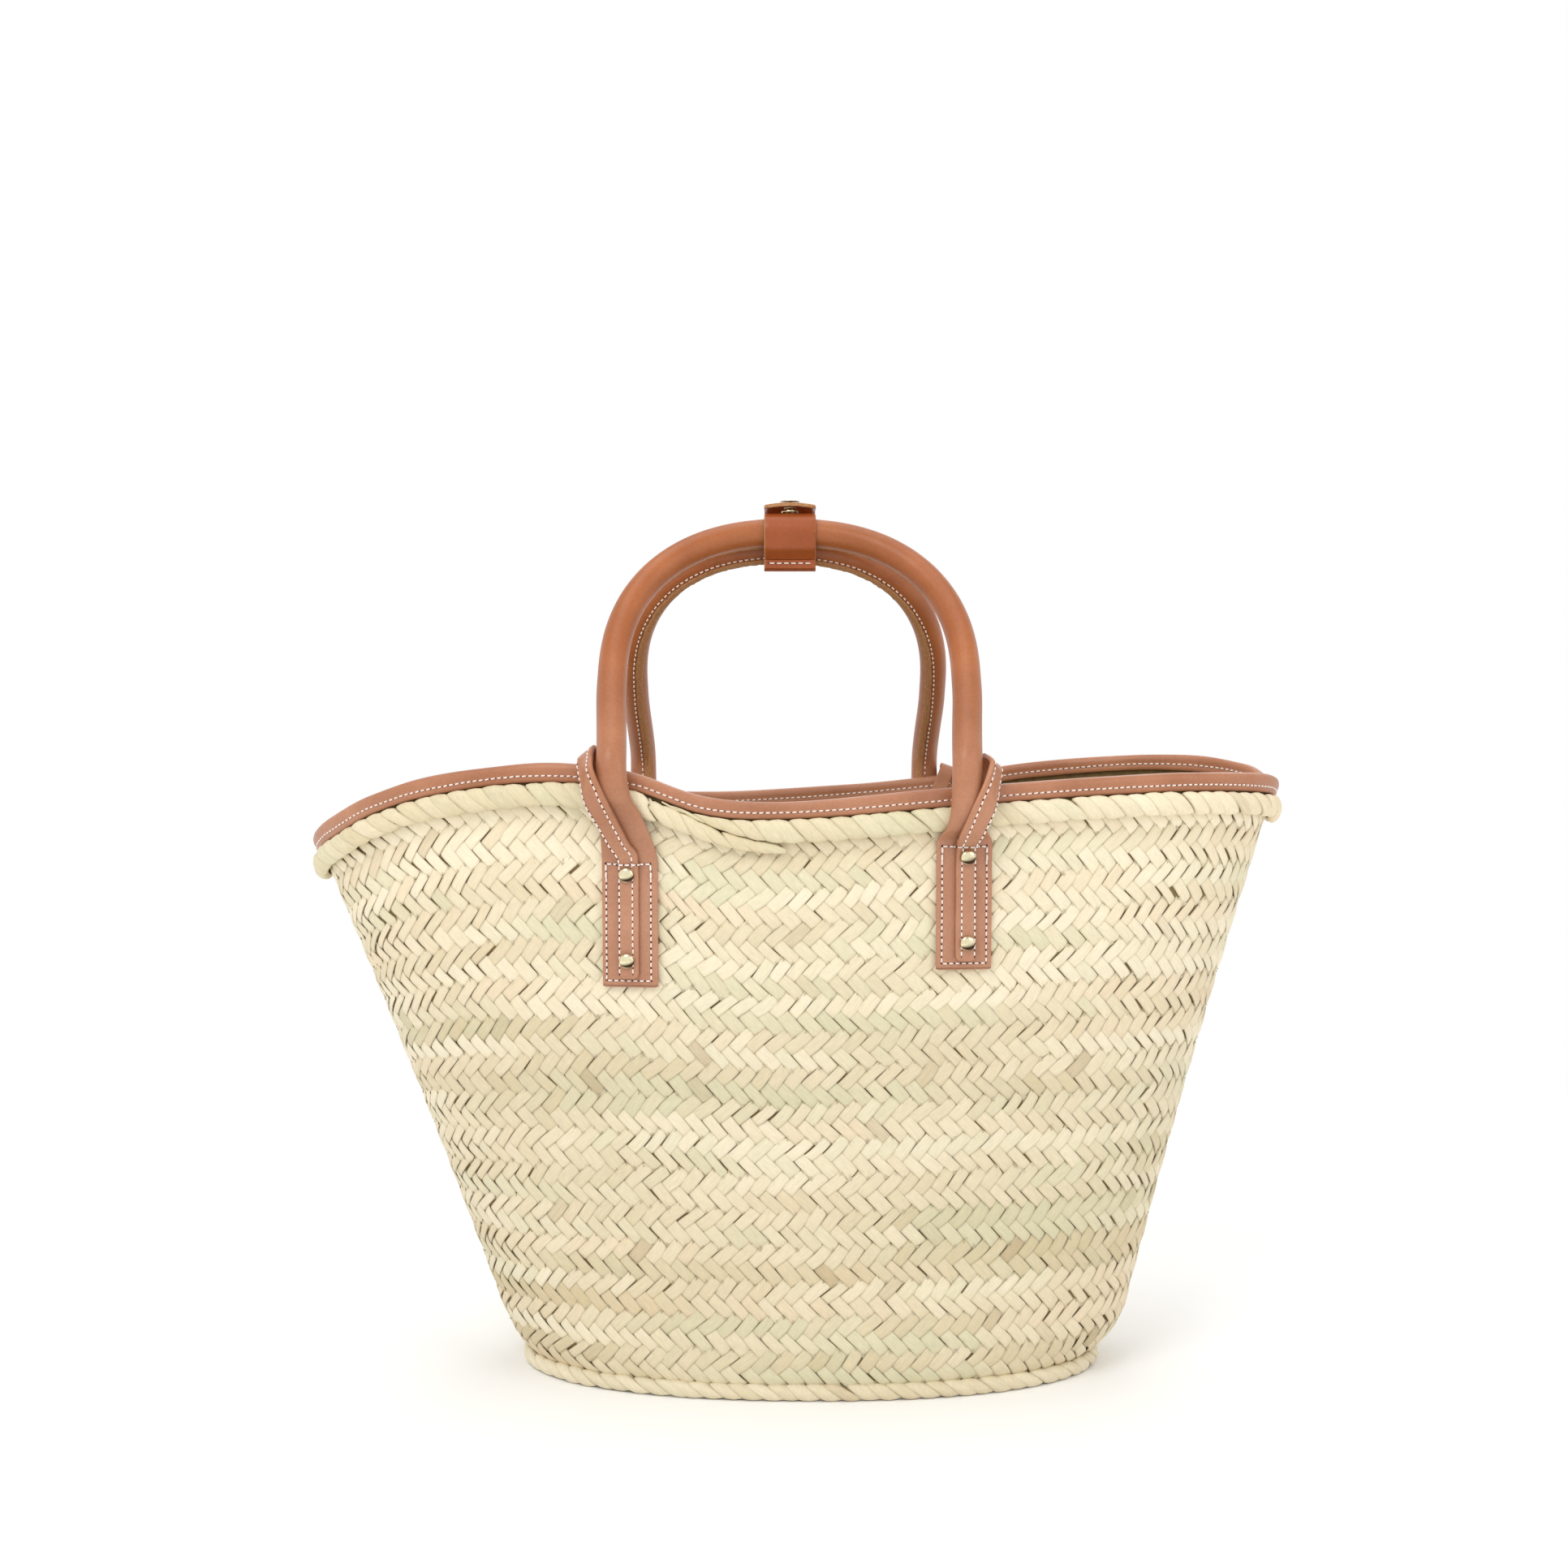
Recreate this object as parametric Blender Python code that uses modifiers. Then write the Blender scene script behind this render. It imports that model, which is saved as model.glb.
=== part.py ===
"""A palm-leaf market basket with leather handles, rim binding and handle keeper.

Metres, +Z up. The origin is under the middle of the basket, on the surface it stands on. The
front, with the keeper's stitched panel, faces -Y. The two handles lean inward and rest together.
"""

from math import asin, atan2, cos, degrees, pi, radians, sin

import bmesh
import bpy
from mathutils import Matrix, Vector

# Driving dimensions: the basket's body. Its left side flares more than its right.
HANDLE_CENTRE_X = -0.0041
LEFT_AT_BASE, LEFT_FLARE = 0.1320, 0.393
RIGHT_AT_BASE, RIGHT_FLARE = 0.1600, 0.280
WAIST, WAIST_HEIGHT = 0.0020, 0.27
DEPTH_AT_BASE, DEPTH_FLARE = 0.0745, 0.052
PLAN_POWER, FOOT_POWER, POWER_HEIGHT = 2.1, 2.2, 0.19
TUCK_LEFT, TUCK_RIGHT, TUCK_DEPTH, TUCK_HEIGHT = 0.010, 0.020, 0.004, 0.028
WALL = 0.0026
WALL_FOOT = 0.0078
WALL_TOP_GAP = 0.0011
BASE_THICKNESS = 0.0030
GAP = 0.0003
# A height near the rim, at which an x is turned into an angle round the basket.
RIM_LEVEL = 0.28
RING_STEPS = 60
WALL_ROWS = (0, 0.022, 0.05, 0.09, 0.25, 0.5, 0.75, 1)

# The rim's height above the ground, as (angle in degrees from +X, height) round the basket.
RIM_HEIGHTS = [
    (0, 0.2850), (15, 0.2935), (38, 0.2980), (57, 0.2940), (72, 0.2860), (95, 0.2780),
    (110, 0.2785), (128, 0.2840), (148, 0.2790), (165, 0.2670), (180, 0.2570),
    (203, 0.2687), (217, 0.2807), (228, 0.2890), (243, 0.2955), (254, 0.2925),
    (262, 0.2810), (270, 0.2792), (288, 0.2850), (303, 0.2890), (322, 0.2910), (345, 0.2890),
]

# Binding, ropes and leather.
BINDING_HEIGHT = 0.0082
BINDING_PROUD = 0.0022
BINDING_LEATHER = 0.0014
BINDING_LIP = 0.0008
BINDING_CLEAR = 0.0004
ROPE_HALF_HEIGHT = 0.0050
ROPE_HALF_THICK = 0.0028
# The rim rope starts thin, swells, runs once round and laps under its own start, thinning out.
ROPE_START, ROPE_END = 257.5, 270.0 + 360.0
ROPE_TIP_SIZE, ROPE_TIP_TURN = 0.12, 13.0
ROPE_TAIL_SIZE, ROPE_TAIL_TURN = 0.42, 17.0
ROPE_LAP_TURN = 2.0
ROPE_LEAST_STANDOFF = 0.75
FOOT_HALF_HEIGHT = 0.0034
FOOT_HALF_THICK = 0.0024
FOOT_ROPE_OFFSET = -0.0008
FOOT_ROPE_BOTTOM = 0.0006
TAB_HALF_WIDTH = 0.01275
TAB_LENGTH = 0.0580
TAB_LEATHER = 0.0022
STRAP_WIDTH = 0.0092
STRAP_LEATHER = 0.0020
STRAP_FOOT = 0.0042
PATCH_LEATHER = 0.0016
PATCH_LAP = 0.001
RIVET_RADIUS = 0.0034
RIVET_HEIGHT = 0.0019
POST_RADIUS = 0.0011
POST_HOLE = 0.0015
RIVET_SPACING = 0.0392
RIVET_INSET = 0.0062
RIVET_SHIFT = 0.0007
RIVET_RIM = 0.0004
BACK_RADIUS = RIVET_RADIUS * 0.94
BACK_DOME = 0.0009
BACK_RECESS = 0.0007
FRONT_CLEAR, BACK_CLEAR, POST_SPARE = 0.0003, 0.0002, 0.0004
DRILL_LENGTH = 0.030

# Handles: each is a round tube bent in its own leaning plane.
TUBE_RADIUS = 0.0068
CORE_RADIUS = 0.0046
SLEEVE_RADIUS = 0.0053
SLIT = 0.0006
HINGE_Y, HINGE_Z = 0.0955, 0.2985
ARCH_POWER = 2.3
STRAIGHT = 0.050
LEG_DRAW = 0.0020
# side, arch centre x, half spread, top of the arch's centre line (y, z)
FRONT_ARCH = (-1, HANDLE_CENTRE_X, 0.0818, 0.0078, 0.4078)
REAR_ARCH = (1, HANDLE_CENTRE_X - 0.0025, 0.0783, 0.0076, 0.4008)

# Each leg: arch, which end, tab centre x, height of the tab's top.
LEGS = {
    "front_left": (FRONT_ARCH, -1, HANDLE_CENTRE_X - 0.0724, 0.2520),
    "front_right": (FRONT_ARCH, 1, HANDLE_CENTRE_X + 0.0795, 0.2600),
    "rear_left": (REAR_ARCH, -1, HANDLE_CENTRE_X - 0.0765, 0.2440),
    "rear_right": (REAR_ARCH, 1, HANDLE_CENTRE_X + 0.0745, 0.2550),
}

# How far each strap's fold stands above the rim, at its outer and its inner edge.
FOLDS = {
    "front_left": (0.0022, 0.0080),
    "front_right": (0.0070, 0.0128),
    "rear_left": (0.0022, 0.0080),
    "rear_right": (0.0022, 0.0080),
}
# Above its tab each edge of a strap bends away, then runs up to its fold. Points are how far out
# from the tube's centre line and how far below the fold; the first of each is the bend.
OUTER_BEND, OUTER_PATH = (0.0044, 0.029), ((0.0070, 0.0220), (0.0106, 0.0120), (0.0146, 0.0))
INNER_BEND = (-0.0052, 0.033)
INNER_PATH = ((-0.0014, 0.0225), (0.0034, 0.0110), (TUBE_RADIUS + 0.0008, 0.0))
STRAP_BEND_SHARE = 0.6
OUTER_EDGE_CUT = 0.002
# The strap lies flat up to a little below its tab's top, then may rise over what it crosses.
STRAP_FLAT_CUT, STRAP_CLIMB, STRAP_SEARCH = 0.0025, 2.0, 0.0016
# How far past the binding's and the rope's own edges they are taken to reach.
EDGE_MARGIN = 0.0012
# Where it goes over the rim, as (distance outside the wall, height above the fold).
OVER_RIM = ((0.0006, 0.0012), (-0.0020, 0.0012))
STRAP_INSIDE_CLEAR, STRAP_INSIDE_DROP = 0.0004, -0.0010
# Sections of a leg between its tab and the tube: share of the way across to the tube, half
# width, half thickness and squareness.
TAB_SQUARENESS = 9.0
LEG_LIFT = 0.0026
LEG_TOP = 0.0045
LEG_SECTIONS = (
    (0.24, 0.0113, 0.0017, 6.0),
    (0.62, 0.0092, 0.0029, 3.6),
    (0.82, 0.0079, 0.0045, 2.6),
    (0.95, 0.0072, 0.0059, 2.2),
)

# Keeper that holds the two handles together.
KEEPER_HALF_WIDTH = 0.0126
KEEPER_LEATHER = 0.0018
KEEPER_CLEAR = 0.0007
WRAP_CLEAR = 0.0016
SNAP_RADIUS = 0.0048
SNAP_MOUTH = 0.0021
SOCKET_HEIGHT = 0.0014
STUD_RADIUS, STUD_PLATE = 0.0030, 0.0007
STEM_RADIUS, STUD_DEPTH = 0.0011, 0.0016
CAP_DOME, CAP_RIM = 0.0004, 0.0002
KEEPER_SHIFT = 0.0005
SNAP_ROOM = 0.0034
TIP_CROWN = 0.0012
# Where the keeper's seam lies under the tubes, and where its tip starts to bend.
SEAM_Y = -FRONT_ARCH[3] + 0.0012
SEAM_Z = FRONT_ARCH[4] - TUBE_RADIUS - KEEPER_CLEAR - 0.0068
TIP_Z = FRONT_ARCH[4] + 0.0022

# Keeper paths, as (y, z) steps: from the seam, from the tubes' tops, and from the snap.
PANEL_FOOT, PANEL_BEND = ((-0.0016, -0.0035), (-0.0020, 0.0015)), (0.0016, -0.0002)
PANEL_ARC, WRAP_ARC = (195, 92), (262, 360)
WRAP_FOOT = ((-0.0009, -0.0045), (-0.0006, -0.0005), (0.0035, 0.0))
WRAP_TOP_GAP, TIP_AXIS_CLEAR, WRAP_AXIS_DROP = 0.0008, 0.0004, 0.0020
TIP_FOOT = ((0.0, 0.0004), (-0.0006, 0.0040))
TIP_TURN = ((-0.0040, -0.0014), (-0.0085, 0.0))
TIP_END = ((0.0, 0.0002), (-0.0062, -0.0004))
SNAP_FORWARD = 0.0010
SNAP_RING, SNAP_SKIRT = SNAP_RADIUS * 0.80, SNAP_RADIUS * 0.88
STUD_SEAT, CAP_SEAT = 0.0004, 0.0005
HINGE_CLEAR = 0.0004

COLOURS = {
    "palm": ((0.83, 0.74, 0.52, 1.0), 0.70, 0.0),
    "leather": ((0.45, 0.16, 0.05, 1.0), 0.45, 0.0),
    "cord": ((0.72, 0.66, 0.54, 1.0), 0.90, 0.0),
    "brass": ((0.87, 0.76, 0.48, 1.0), 0.18, 1.0),
}


# ---------------------------------------------------------------- scene helpers


def clear_scene():
    for obj in list(bpy.data.objects):
        bpy.data.objects.remove(obj, do_unlink=True)


def new_collection(name):
    collection = bpy.data.collections.new(name)
    bpy.context.scene.collection.children.link(collection)
    return collection


def new_material(name, slot):
    colour, roughness, metallic = COLOURS[slot]
    material = bpy.data.materials.new(name)
    material.use_nodes = True
    shader = material.node_tree.nodes["Principled BSDF"]
    shader.inputs["Base Color"].default_value = colour
    shader.inputs["Roughness"].default_value = roughness
    shader.inputs["Metallic"].default_value = metallic
    return material


def add_object(name, data, slot, parent=None):
    obj = bpy.data.objects.new(name, data)
    PARTS.objects.link(obj)
    data.materials.append(new_material(name, slot))
    if parent is not None:
        obj.parent = parent
        obj.matrix_parent_inverse = parent.matrix_world.inverted()
    return obj


def add_axis(name, place):
    """An empty on a joint's axis; the pieces that turn about it are its children."""
    empty = bpy.data.objects.new(name, None)
    PARTS.objects.link(empty)
    empty.location = place
    bpy.context.view_layer.update()
    return empty


def mesh_of(name, points, faces, smooth=True):
    mesh = bpy.data.meshes.new(name)
    mesh.from_pydata([tuple(p) for p in points], [], faces)
    mesh.update()
    if smooth:
        mesh.shade_smooth()
    return mesh


def grid_faces(rows, columns, ring_rows=False, ring_columns=False):
    """Quads of a grid whose points run column by column inside each row."""
    faces = []
    for i in range(rows if ring_rows else rows - 1):
        for j in range(columns if ring_columns else columns - 1):
            i2, j2 = (i + 1) % rows, (j + 1) % columns
            faces.append(
                (i * columns + j, i * columns + j2, i2 * columns + j2, i2 * columns + j)
            )
    return faces


def add_solidify(obj, thickness, offset=1.0):
    solid = obj.modifiers.new("thickness", "SOLIDIFY")
    solid.thickness = thickness
    solid.offset = offset
    solid.use_even_offset = True
    return solid


def face_outward(obj, inside):
    """Turns an open sheet's faces so that they look away from the point `inside`."""
    mesh = obj.data
    total = sum((p.center - inside).dot(p.normal) * p.area for p in mesh.polygons)
    if total < 0:
        mesh.flip_normals()


def cut(obj, cutter):
    boolean = obj.modifiers.new(cutter.name, "BOOLEAN")
    boolean.operation = "DIFFERENCE"
    boolean.object = cutter
    boolean.solver = "EXACT"


def smooth_step(t):
    t = min(1.0, max(0.0, t))
    return t * t * (3.0 - 2.0 * t)


def mix(a, b, t):
    return a + (b - a) * t


def through(stations, t):
    """A smooth value at t (0 to 1) through stations, each a tuple of numbers."""
    last = len(stations) - 1
    at = min(max(t * last, 0.0), last - 1e-9)
    i = int(at)
    f = at - i
    before = stations[max(i - 1, 0)]
    here, there = stations[i], stations[i + 1]
    after = stations[min(i + 2, last)]
    result = []
    for p0, p1, p2, p3 in zip(before, here, there, after):
        m1, m2 = (p2 - p0) / 2.0, (p3 - p1) / 2.0
        # A slope never carries the curve past the next station.
        m1 = 0.0 if (p2 - p1) * (p1 - p0) <= 0 else m1
        m2 = 0.0 if (p3 - p2) * (p2 - p1) <= 0 else m2
        f2, f3 = f * f, f * f * f
        result.append(
            p1 * (2 * f3 - 3 * f2 + 1)
            + m1 * (f3 - 2 * f2 + f)
            + p2 * (3 * f2 - 2 * f3)
            + m2 * (f3 - f2)
        )
    return result


# ---------------------------------------------------------------- the body's shape


def half_sizes(z):
    """Centre x, half width and half depth of the wall's outer face at height z."""
    waist = WAIST * sin(pi * min(z, WAIST_HEIGHT) / WAIST_HEIGHT)
    tuck = max(0.0, 1.0 - z / TUCK_HEIGHT) ** 2
    left = LEFT_AT_BASE + LEFT_FLARE * z - waist - TUCK_LEFT * tuck
    right = RIGHT_AT_BASE + RIGHT_FLARE * z - waist - TUCK_RIGHT * tuck
    centre = HANDLE_CENTRE_X + (right - left) / 2
    depth = DEPTH_AT_BASE + DEPTH_FLARE * z - TUCK_DEPTH * tuck
    return centre, (right + left) / 2, depth


def plan_power(z):
    """Power of the oval outline: squarer at the foot than higher up."""
    return mix(FOOT_POWER, PLAN_POWER, smooth_step(z / POWER_HEIGHT))


def plan_point(angle, z):
    centre, half, depth = half_sizes(z)
    c, s = cos(angle), sin(angle)
    power = 2.0 / plan_power(z)
    x = centre + half * abs(c) ** power * (1 if c >= 0 else -1)
    y = depth * abs(s) ** power * (1 if s >= 0 else -1)
    return Vector((x, y, z))


def wall_normal(angle, z):
    step = 1e-3
    along = plan_point(angle + step, z) - plan_point(angle - step, z)
    up = plan_point(angle, z + step) - plan_point(angle, z - step)
    return along.cross(up).normalized()


def wall_point(angle, z, offset=0.0):
    return plan_point(angle, z) + wall_normal(angle, z) * offset


def foot_point(angle, z, offset):
    """A point at height z off the wall's foot outline, moved level outward by offset."""
    out = wall_normal(angle, WALL_FOOT)
    level = Vector((out.x, out.y, 0)).normalized()
    place = plan_point(angle, WALL_FOOT) + level * offset
    return Vector((place.x, place.y, z))


def angle_at(x, z, side):
    """The plan angle of the wall where it has this x, on the front (-1) or rear (1)."""
    centre, half, _ = half_sizes(z)
    u = min(1.0, max(-1.0, (x - centre) / half))
    c = abs(u) ** (plan_power(z) / 2.0) * (1 if u >= 0 else -1)
    s = side * (1.0 - c * c) ** 0.5
    return atan2(s, c)


def face_point(x, z, side, offset=0.0):
    """A point on the front or rear wall by its x and height, moved out by offset."""
    angle = angle_at(x, z, side)
    return plan_point(angle, z) + wall_normal(angle, z) * offset


def rim_height(angle):
    turn = degrees(angle) % 360.0
    points = RIM_HEIGHTS
    count = len(points)
    for i in range(count):
        a1, h1 = points[i]
        a2, h2 = points[(i + 1) % count]
        a2 = a2 if i + 1 < count else a2 + 360
        if a1 <= turn <= a2:
            a0, h0 = points[i - 1]
            a0 = a0 if i > 0 else a0 - 360
            a3, h3 = points[(i + 2) % count]
            a3 = a3 if i + 2 < count else a3 + 360
            m1, m2 = (h2 - h0) / (a2 - a0), (h3 - h1) / (a3 - a1)
            span, f = a2 - a1, (turn - a1) / (a2 - a1)
            f2, f3 = f * f, f * f * f
            return (
                h1 * (2 * f3 - 3 * f2 + 1)
                + m1 * span * (f3 - 2 * f2 + f)
                + h2 * (3 * f2 - 2 * f3)
                + m2 * span * (f3 - f2)
            )
    return points[0][1]


# ---------------------------------------------------------------- woven pieces


def build_wall(steps=RING_STEPS):
    """The woven wall: an open sheet from foot to rim, thickened inward."""
    top_gap = BINDING_LEATHER + WALL_TOP_GAP
    points = []
    for share in WALL_ROWS:
        for j in range(steps):
            angle = 2 * pi * j / steps
            z = mix(WALL_FOOT, rim_height(angle) - top_gap, share)
            points.append(wall_point(angle, z))
    mesh = mesh_of("side_wall", points, grid_faces(len(WALL_ROWS), steps, ring_columns=True))
    wall = add_object("side_wall", mesh, "palm")
    face_outward(wall, Vector((0, 0, 0.15)))
    add_solidify(wall, WALL, offset=-1.0)
    return wall


def build_base(steps=RING_STEPS):
    """The woven base: a flat oval mat inside the foot rope."""
    inset = FOOT_ROPE_OFFSET - FOOT_HALF_THICK - GAP
    made = bmesh.new()
    corners = [made.verts.new(foot_point(2 * pi * j / steps, 0.0, inset)) for j in range(steps)]
    face = made.faces.new(corners)
    moved = bmesh.ops.extrude_face_region(made, geom=[face])["geom"]
    top = [v for v in moved if isinstance(v, bmesh.types.BMVert)]
    bmesh.ops.translate(made, verts=top, vec=(0, 0, BASE_THICKNESS))
    bmesh.ops.recalc_face_normals(made, faces=made.faces)
    mesh = bpy.data.meshes.new("base_mat")
    made.to_mesh(mesh)
    made.free()
    return add_object("base_mat", mesh, "palm")


def oval_profile(name, half_thick, half_height, sides):
    """A hidden outline that a rope curve takes as its section."""
    curve = bpy.data.curves.new(name, "CURVE")
    curve.dimensions = "2D"
    curve.fill_mode = "NONE"
    spline = curve.splines.new("POLY")
    spline.points.add(sides - 1)
    for i, point in enumerate(spline.points):
        a = -2 * pi * (i + 0.5) / sides
        point.co = (half_thick * cos(a), half_height * sin(a), 0.0, 1.0)
    spline.use_cyclic_u = True
    outline = bpy.data.objects.new(name, curve)
    GUIDES.objects.link(outline)
    outline.hide_render = True
    outline.display_type = "WIRE"
    return outline


def rope_curve(name, path, outline, closed, sizes=None):
    curve = bpy.data.curves.new(name, "CURVE")
    curve.dimensions = "3D"
    curve.twist_mode = "Z_UP"
    curve.bevel_mode = "OBJECT"
    curve.bevel_object = outline
    curve.use_fill_caps = not closed
    spline = curve.splines.new("POLY")
    spline.points.add(len(path) - 1)
    for i, (point, place) in enumerate(zip(spline.points, path)):
        point.co = (*place, 1.0)
        point.radius = 1.0 if sizes is None else sizes[i]
    spline.use_cyclic_u = closed
    return add_object(name, curve, "palm")


def rope_start_size(turn):
    """Relative size of the rope near its start, where it swells from a thin end."""
    return mix(ROPE_TIP_SIZE, 1.0, smooth_step((turn - ROPE_START) / ROPE_TIP_TURN))


def rope_place(turn):
    """Centre of the rim rope and its relative size at a turn in degrees.

    It goes once round under the binding, thin at its start, and its end runs on below the start.
    """
    angle = radians(turn)
    tail = mix(1.0, ROPE_TAIL_SIZE, (turn - ROPE_END + ROPE_TAIL_TURN) / ROPE_TAIL_TURN)
    size = min(rope_start_size(turn), tail)
    top = rim_height(angle) - BINDING_HEIGHT - GAP
    if turn > ROPE_START + 360.0 - ROPE_LAP_TURN:
        start = rope_start_size(turn - 360.0)
        top -= 2 * ROPE_HALF_HEIGHT * start + 3 * GAP
    z = top - ROPE_HALF_HEIGHT * size
    thick = ROPE_HALF_THICK * max(size, ROPE_LEAST_STANDOFF)
    return wall_point(angle, z, GAP + BINDING_CLEAR + thick), size


def build_rim_rope(steps=72):
    outline = oval_profile("rope_section", ROPE_HALF_THICK, ROPE_HALF_HEIGHT, 6)
    turns = [mix(ROPE_START, ROPE_END, i / (steps - 1)) for i in range(steps)]
    places = [rope_place(turn) for turn in turns]
    return rope_curve(
        "rim_rope", [p for p, _ in places], outline, False, [size for _, size in places]
    )


def build_foot_rope(steps=RING_STEPS):
    outline = oval_profile("foot_section", FOOT_HALF_THICK, FOOT_HALF_HEIGHT, 6)
    z = FOOT_HALF_HEIGHT + FOOT_ROPE_BOTTOM
    path = [foot_point(2 * pi * i / steps, z, FOOT_ROPE_OFFSET) for i in range(steps)]
    return rope_curve("foot_rope", path, outline, True)


def build_binding(steps=RING_STEPS):
    """Leather folded over the rim: a sheet round the wall's edge, thickened outward."""
    clear = GAP
    inner = -(WALL + clear)
    across = [
        (clear, -BINDING_HEIGHT),
        (clear, -BINDING_LEATHER - BINDING_LIP),
        (-WALL * 0.5, -BINDING_LEATHER),
        (inner, -BINDING_LEATHER - BINDING_LIP),
        (inner, -BINDING_HEIGHT),
    ]
    points = []
    for j in range(steps):
        angle = 2 * pi * j / steps
        top = rim_height(angle)
        for offset, down in across:
            points.append(wall_point(angle, top + down, offset))
    faces = grid_faces(steps, len(across), ring_rows=True)
    mesh = mesh_of("rim_binding", points, faces)
    binding = add_object("rim_binding", mesh, "leather")
    probe = mesh.polygons[0]
    out = Vector((probe.center.x, probe.center.y, 0))
    if probe.normal.dot(out) < 0:
        mesh.flip_normals()
    add_solidify(binding, BINDING_LEATHER, offset=1.0)
    return binding


# ---------------------------------------------------------------- handles


def arch_plane(arch):
    """Foot of the arch's centre line, and its plane's upward direction."""
    side, centre_x, _, top_y, top_z = arch
    foot = Vector((centre_x, side * HINGE_Y, HINGE_Z))
    top = Vector((centre_x, side * top_y, top_z))
    return foot, (top - foot).normalized(), (top - foot).length


def arch_outline(arch, steps):
    """The centre line in its own plane, as (across, up) from the foot, left end first."""
    _, _, spread, _, _ = arch
    _, _, rise = arch_plane(arch)
    crown = rise - STRAIGHT
    power = 2.0 / ARCH_POWER
    line = []
    legs = 3
    for i in range(legs):
        f = i / legs
        line.append((-mix(spread - LEG_DRAW, spread, smooth_step(f * 1.2)), STRAIGHT * f))
    for i in range(steps + 1):
        a = pi * (1 - i / steps)
        c, s = cos(a), sin(a)
        across = spread * abs(c) ** power * (1 if c >= 0 else -1)
        line.append((across, STRAIGHT + crown * s**power))
    line += [(-x, up) for x, up in reversed(line[:legs])]
    return line


def slit_profile(sides=11):
    """Section of the rolled leather: a ring with a narrow slit along the handle's inner face."""
    curve = bpy.data.curves.new("rolled_section", "CURVE")
    curve.dimensions = "2D"
    curve.fill_mode = "NONE"
    inner = SLEEVE_RADIUS
    half_out, half_in = asin(SLIT / 2 / TUBE_RADIUS), asin(SLIT / 2 / inner)
    outside = [mix(half_out, 2 * pi - half_out, i / (sides - 1)) for i in range(sides)]
    inside = [mix(2 * pi - half_in, half_in, i / (sides - 3)) for i in range(sides - 2)]
    places = [(TUBE_RADIUS * cos(a), TUBE_RADIUS * sin(a)) for a in outside]
    places += [(inner * cos(a), inner * sin(a)) for a in inside]
    spline = curve.splines.new("POLY")
    spline.points.add(len(places) - 1)
    for point, (x, y) in zip(spline.points, places):
        point.co = (x, y, 0.0, 1.0)
    spline.use_cyclic_u = True
    outline = bpy.data.objects.new("rolled_section", curve)
    GUIDES.objects.link(outline)
    outline.hide_render = True
    outline.display_type = "WIRE"
    return outline


def arch_matrix(arch):
    """From the arch's own plane (across, up, toward the other handle) to the world."""
    side = arch[0]
    foot, up, _ = arch_plane(arch)
    inward = Vector((0, -side, 0))
    inward = (inward - up * inward.dot(up)).normalized()
    across = up.cross(inward)
    return (
        Matrix((across, up, inward)).transposed().to_4x4(),
        foot,
        across.x,
    )


def build_cover(name, arch, outline, axis, steps=22):
    """The rolled leather tube of one handle, above its hinge line."""
    turn, foot, flip = arch_matrix(arch)
    line = arch_outline(arch, steps)
    points = []
    ring = [tuple(p.co)[:2] for p in outline.data.splines[0].points]
    # The slit looks along the plane's inward direction.
    for i, (x, up) in enumerate(line):
        x0, u0 = line[max(i - 1, 0)]
        x1, u1 = line[min(i + 1, len(line) - 1)]
        along = Vector((x1 - x0, u1 - u0, 0)).normalized()
        if i in (0, len(line) - 1):
            along = Vector((0, 1 if i == 0 else -1, 0))
        out = Vector((along.y, -along.x, 0))
        for r_in, r_out in ring:
            place = Vector((x, up, 0)) + out * r_out + Vector((0, 0, r_in))
            place.x *= flip
            points.append(turn @ place + foot)
    rows, columns = len(line), len(ring)
    faces = grid_faces(rows, columns, ring_columns=True)
    faces.append(tuple(reversed(range(columns))))
    faces.append(tuple(range((rows - 1) * columns, rows * columns)))
    mesh = mesh_of(name, points, faces)
    made = bmesh.new()
    made.from_mesh(mesh)
    bmesh.ops.recalc_face_normals(made, faces=made.faces)
    made.to_mesh(mesh)
    made.free()
    return add_object(name, mesh, "leather", axis)


def build_core(name, arch, axis, steps=22):
    """The cord that fills the rolled handle."""
    turn, foot, flip = arch_matrix(arch)
    line = arch_outline(arch, steps)[1:-1]
    curve = bpy.data.curves.new(name, "CURVE")
    curve.dimensions = "3D"
    curve.bevel_depth = CORE_RADIUS
    curve.bevel_resolution = 2
    curve.use_fill_caps = True
    spline = curve.splines.new("POLY")
    spline.points.add(len(line) - 1)
    for point, (x, up) in zip(spline.points, line):
        place = turn @ Vector((x * flip, up, 0)) + foot
        point.co = (*place, 1.0)
    return add_object(name, curve, "cord", axis)


# ---------------------------------------------------------------- leg roots and tabs

TABLES = {}


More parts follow.
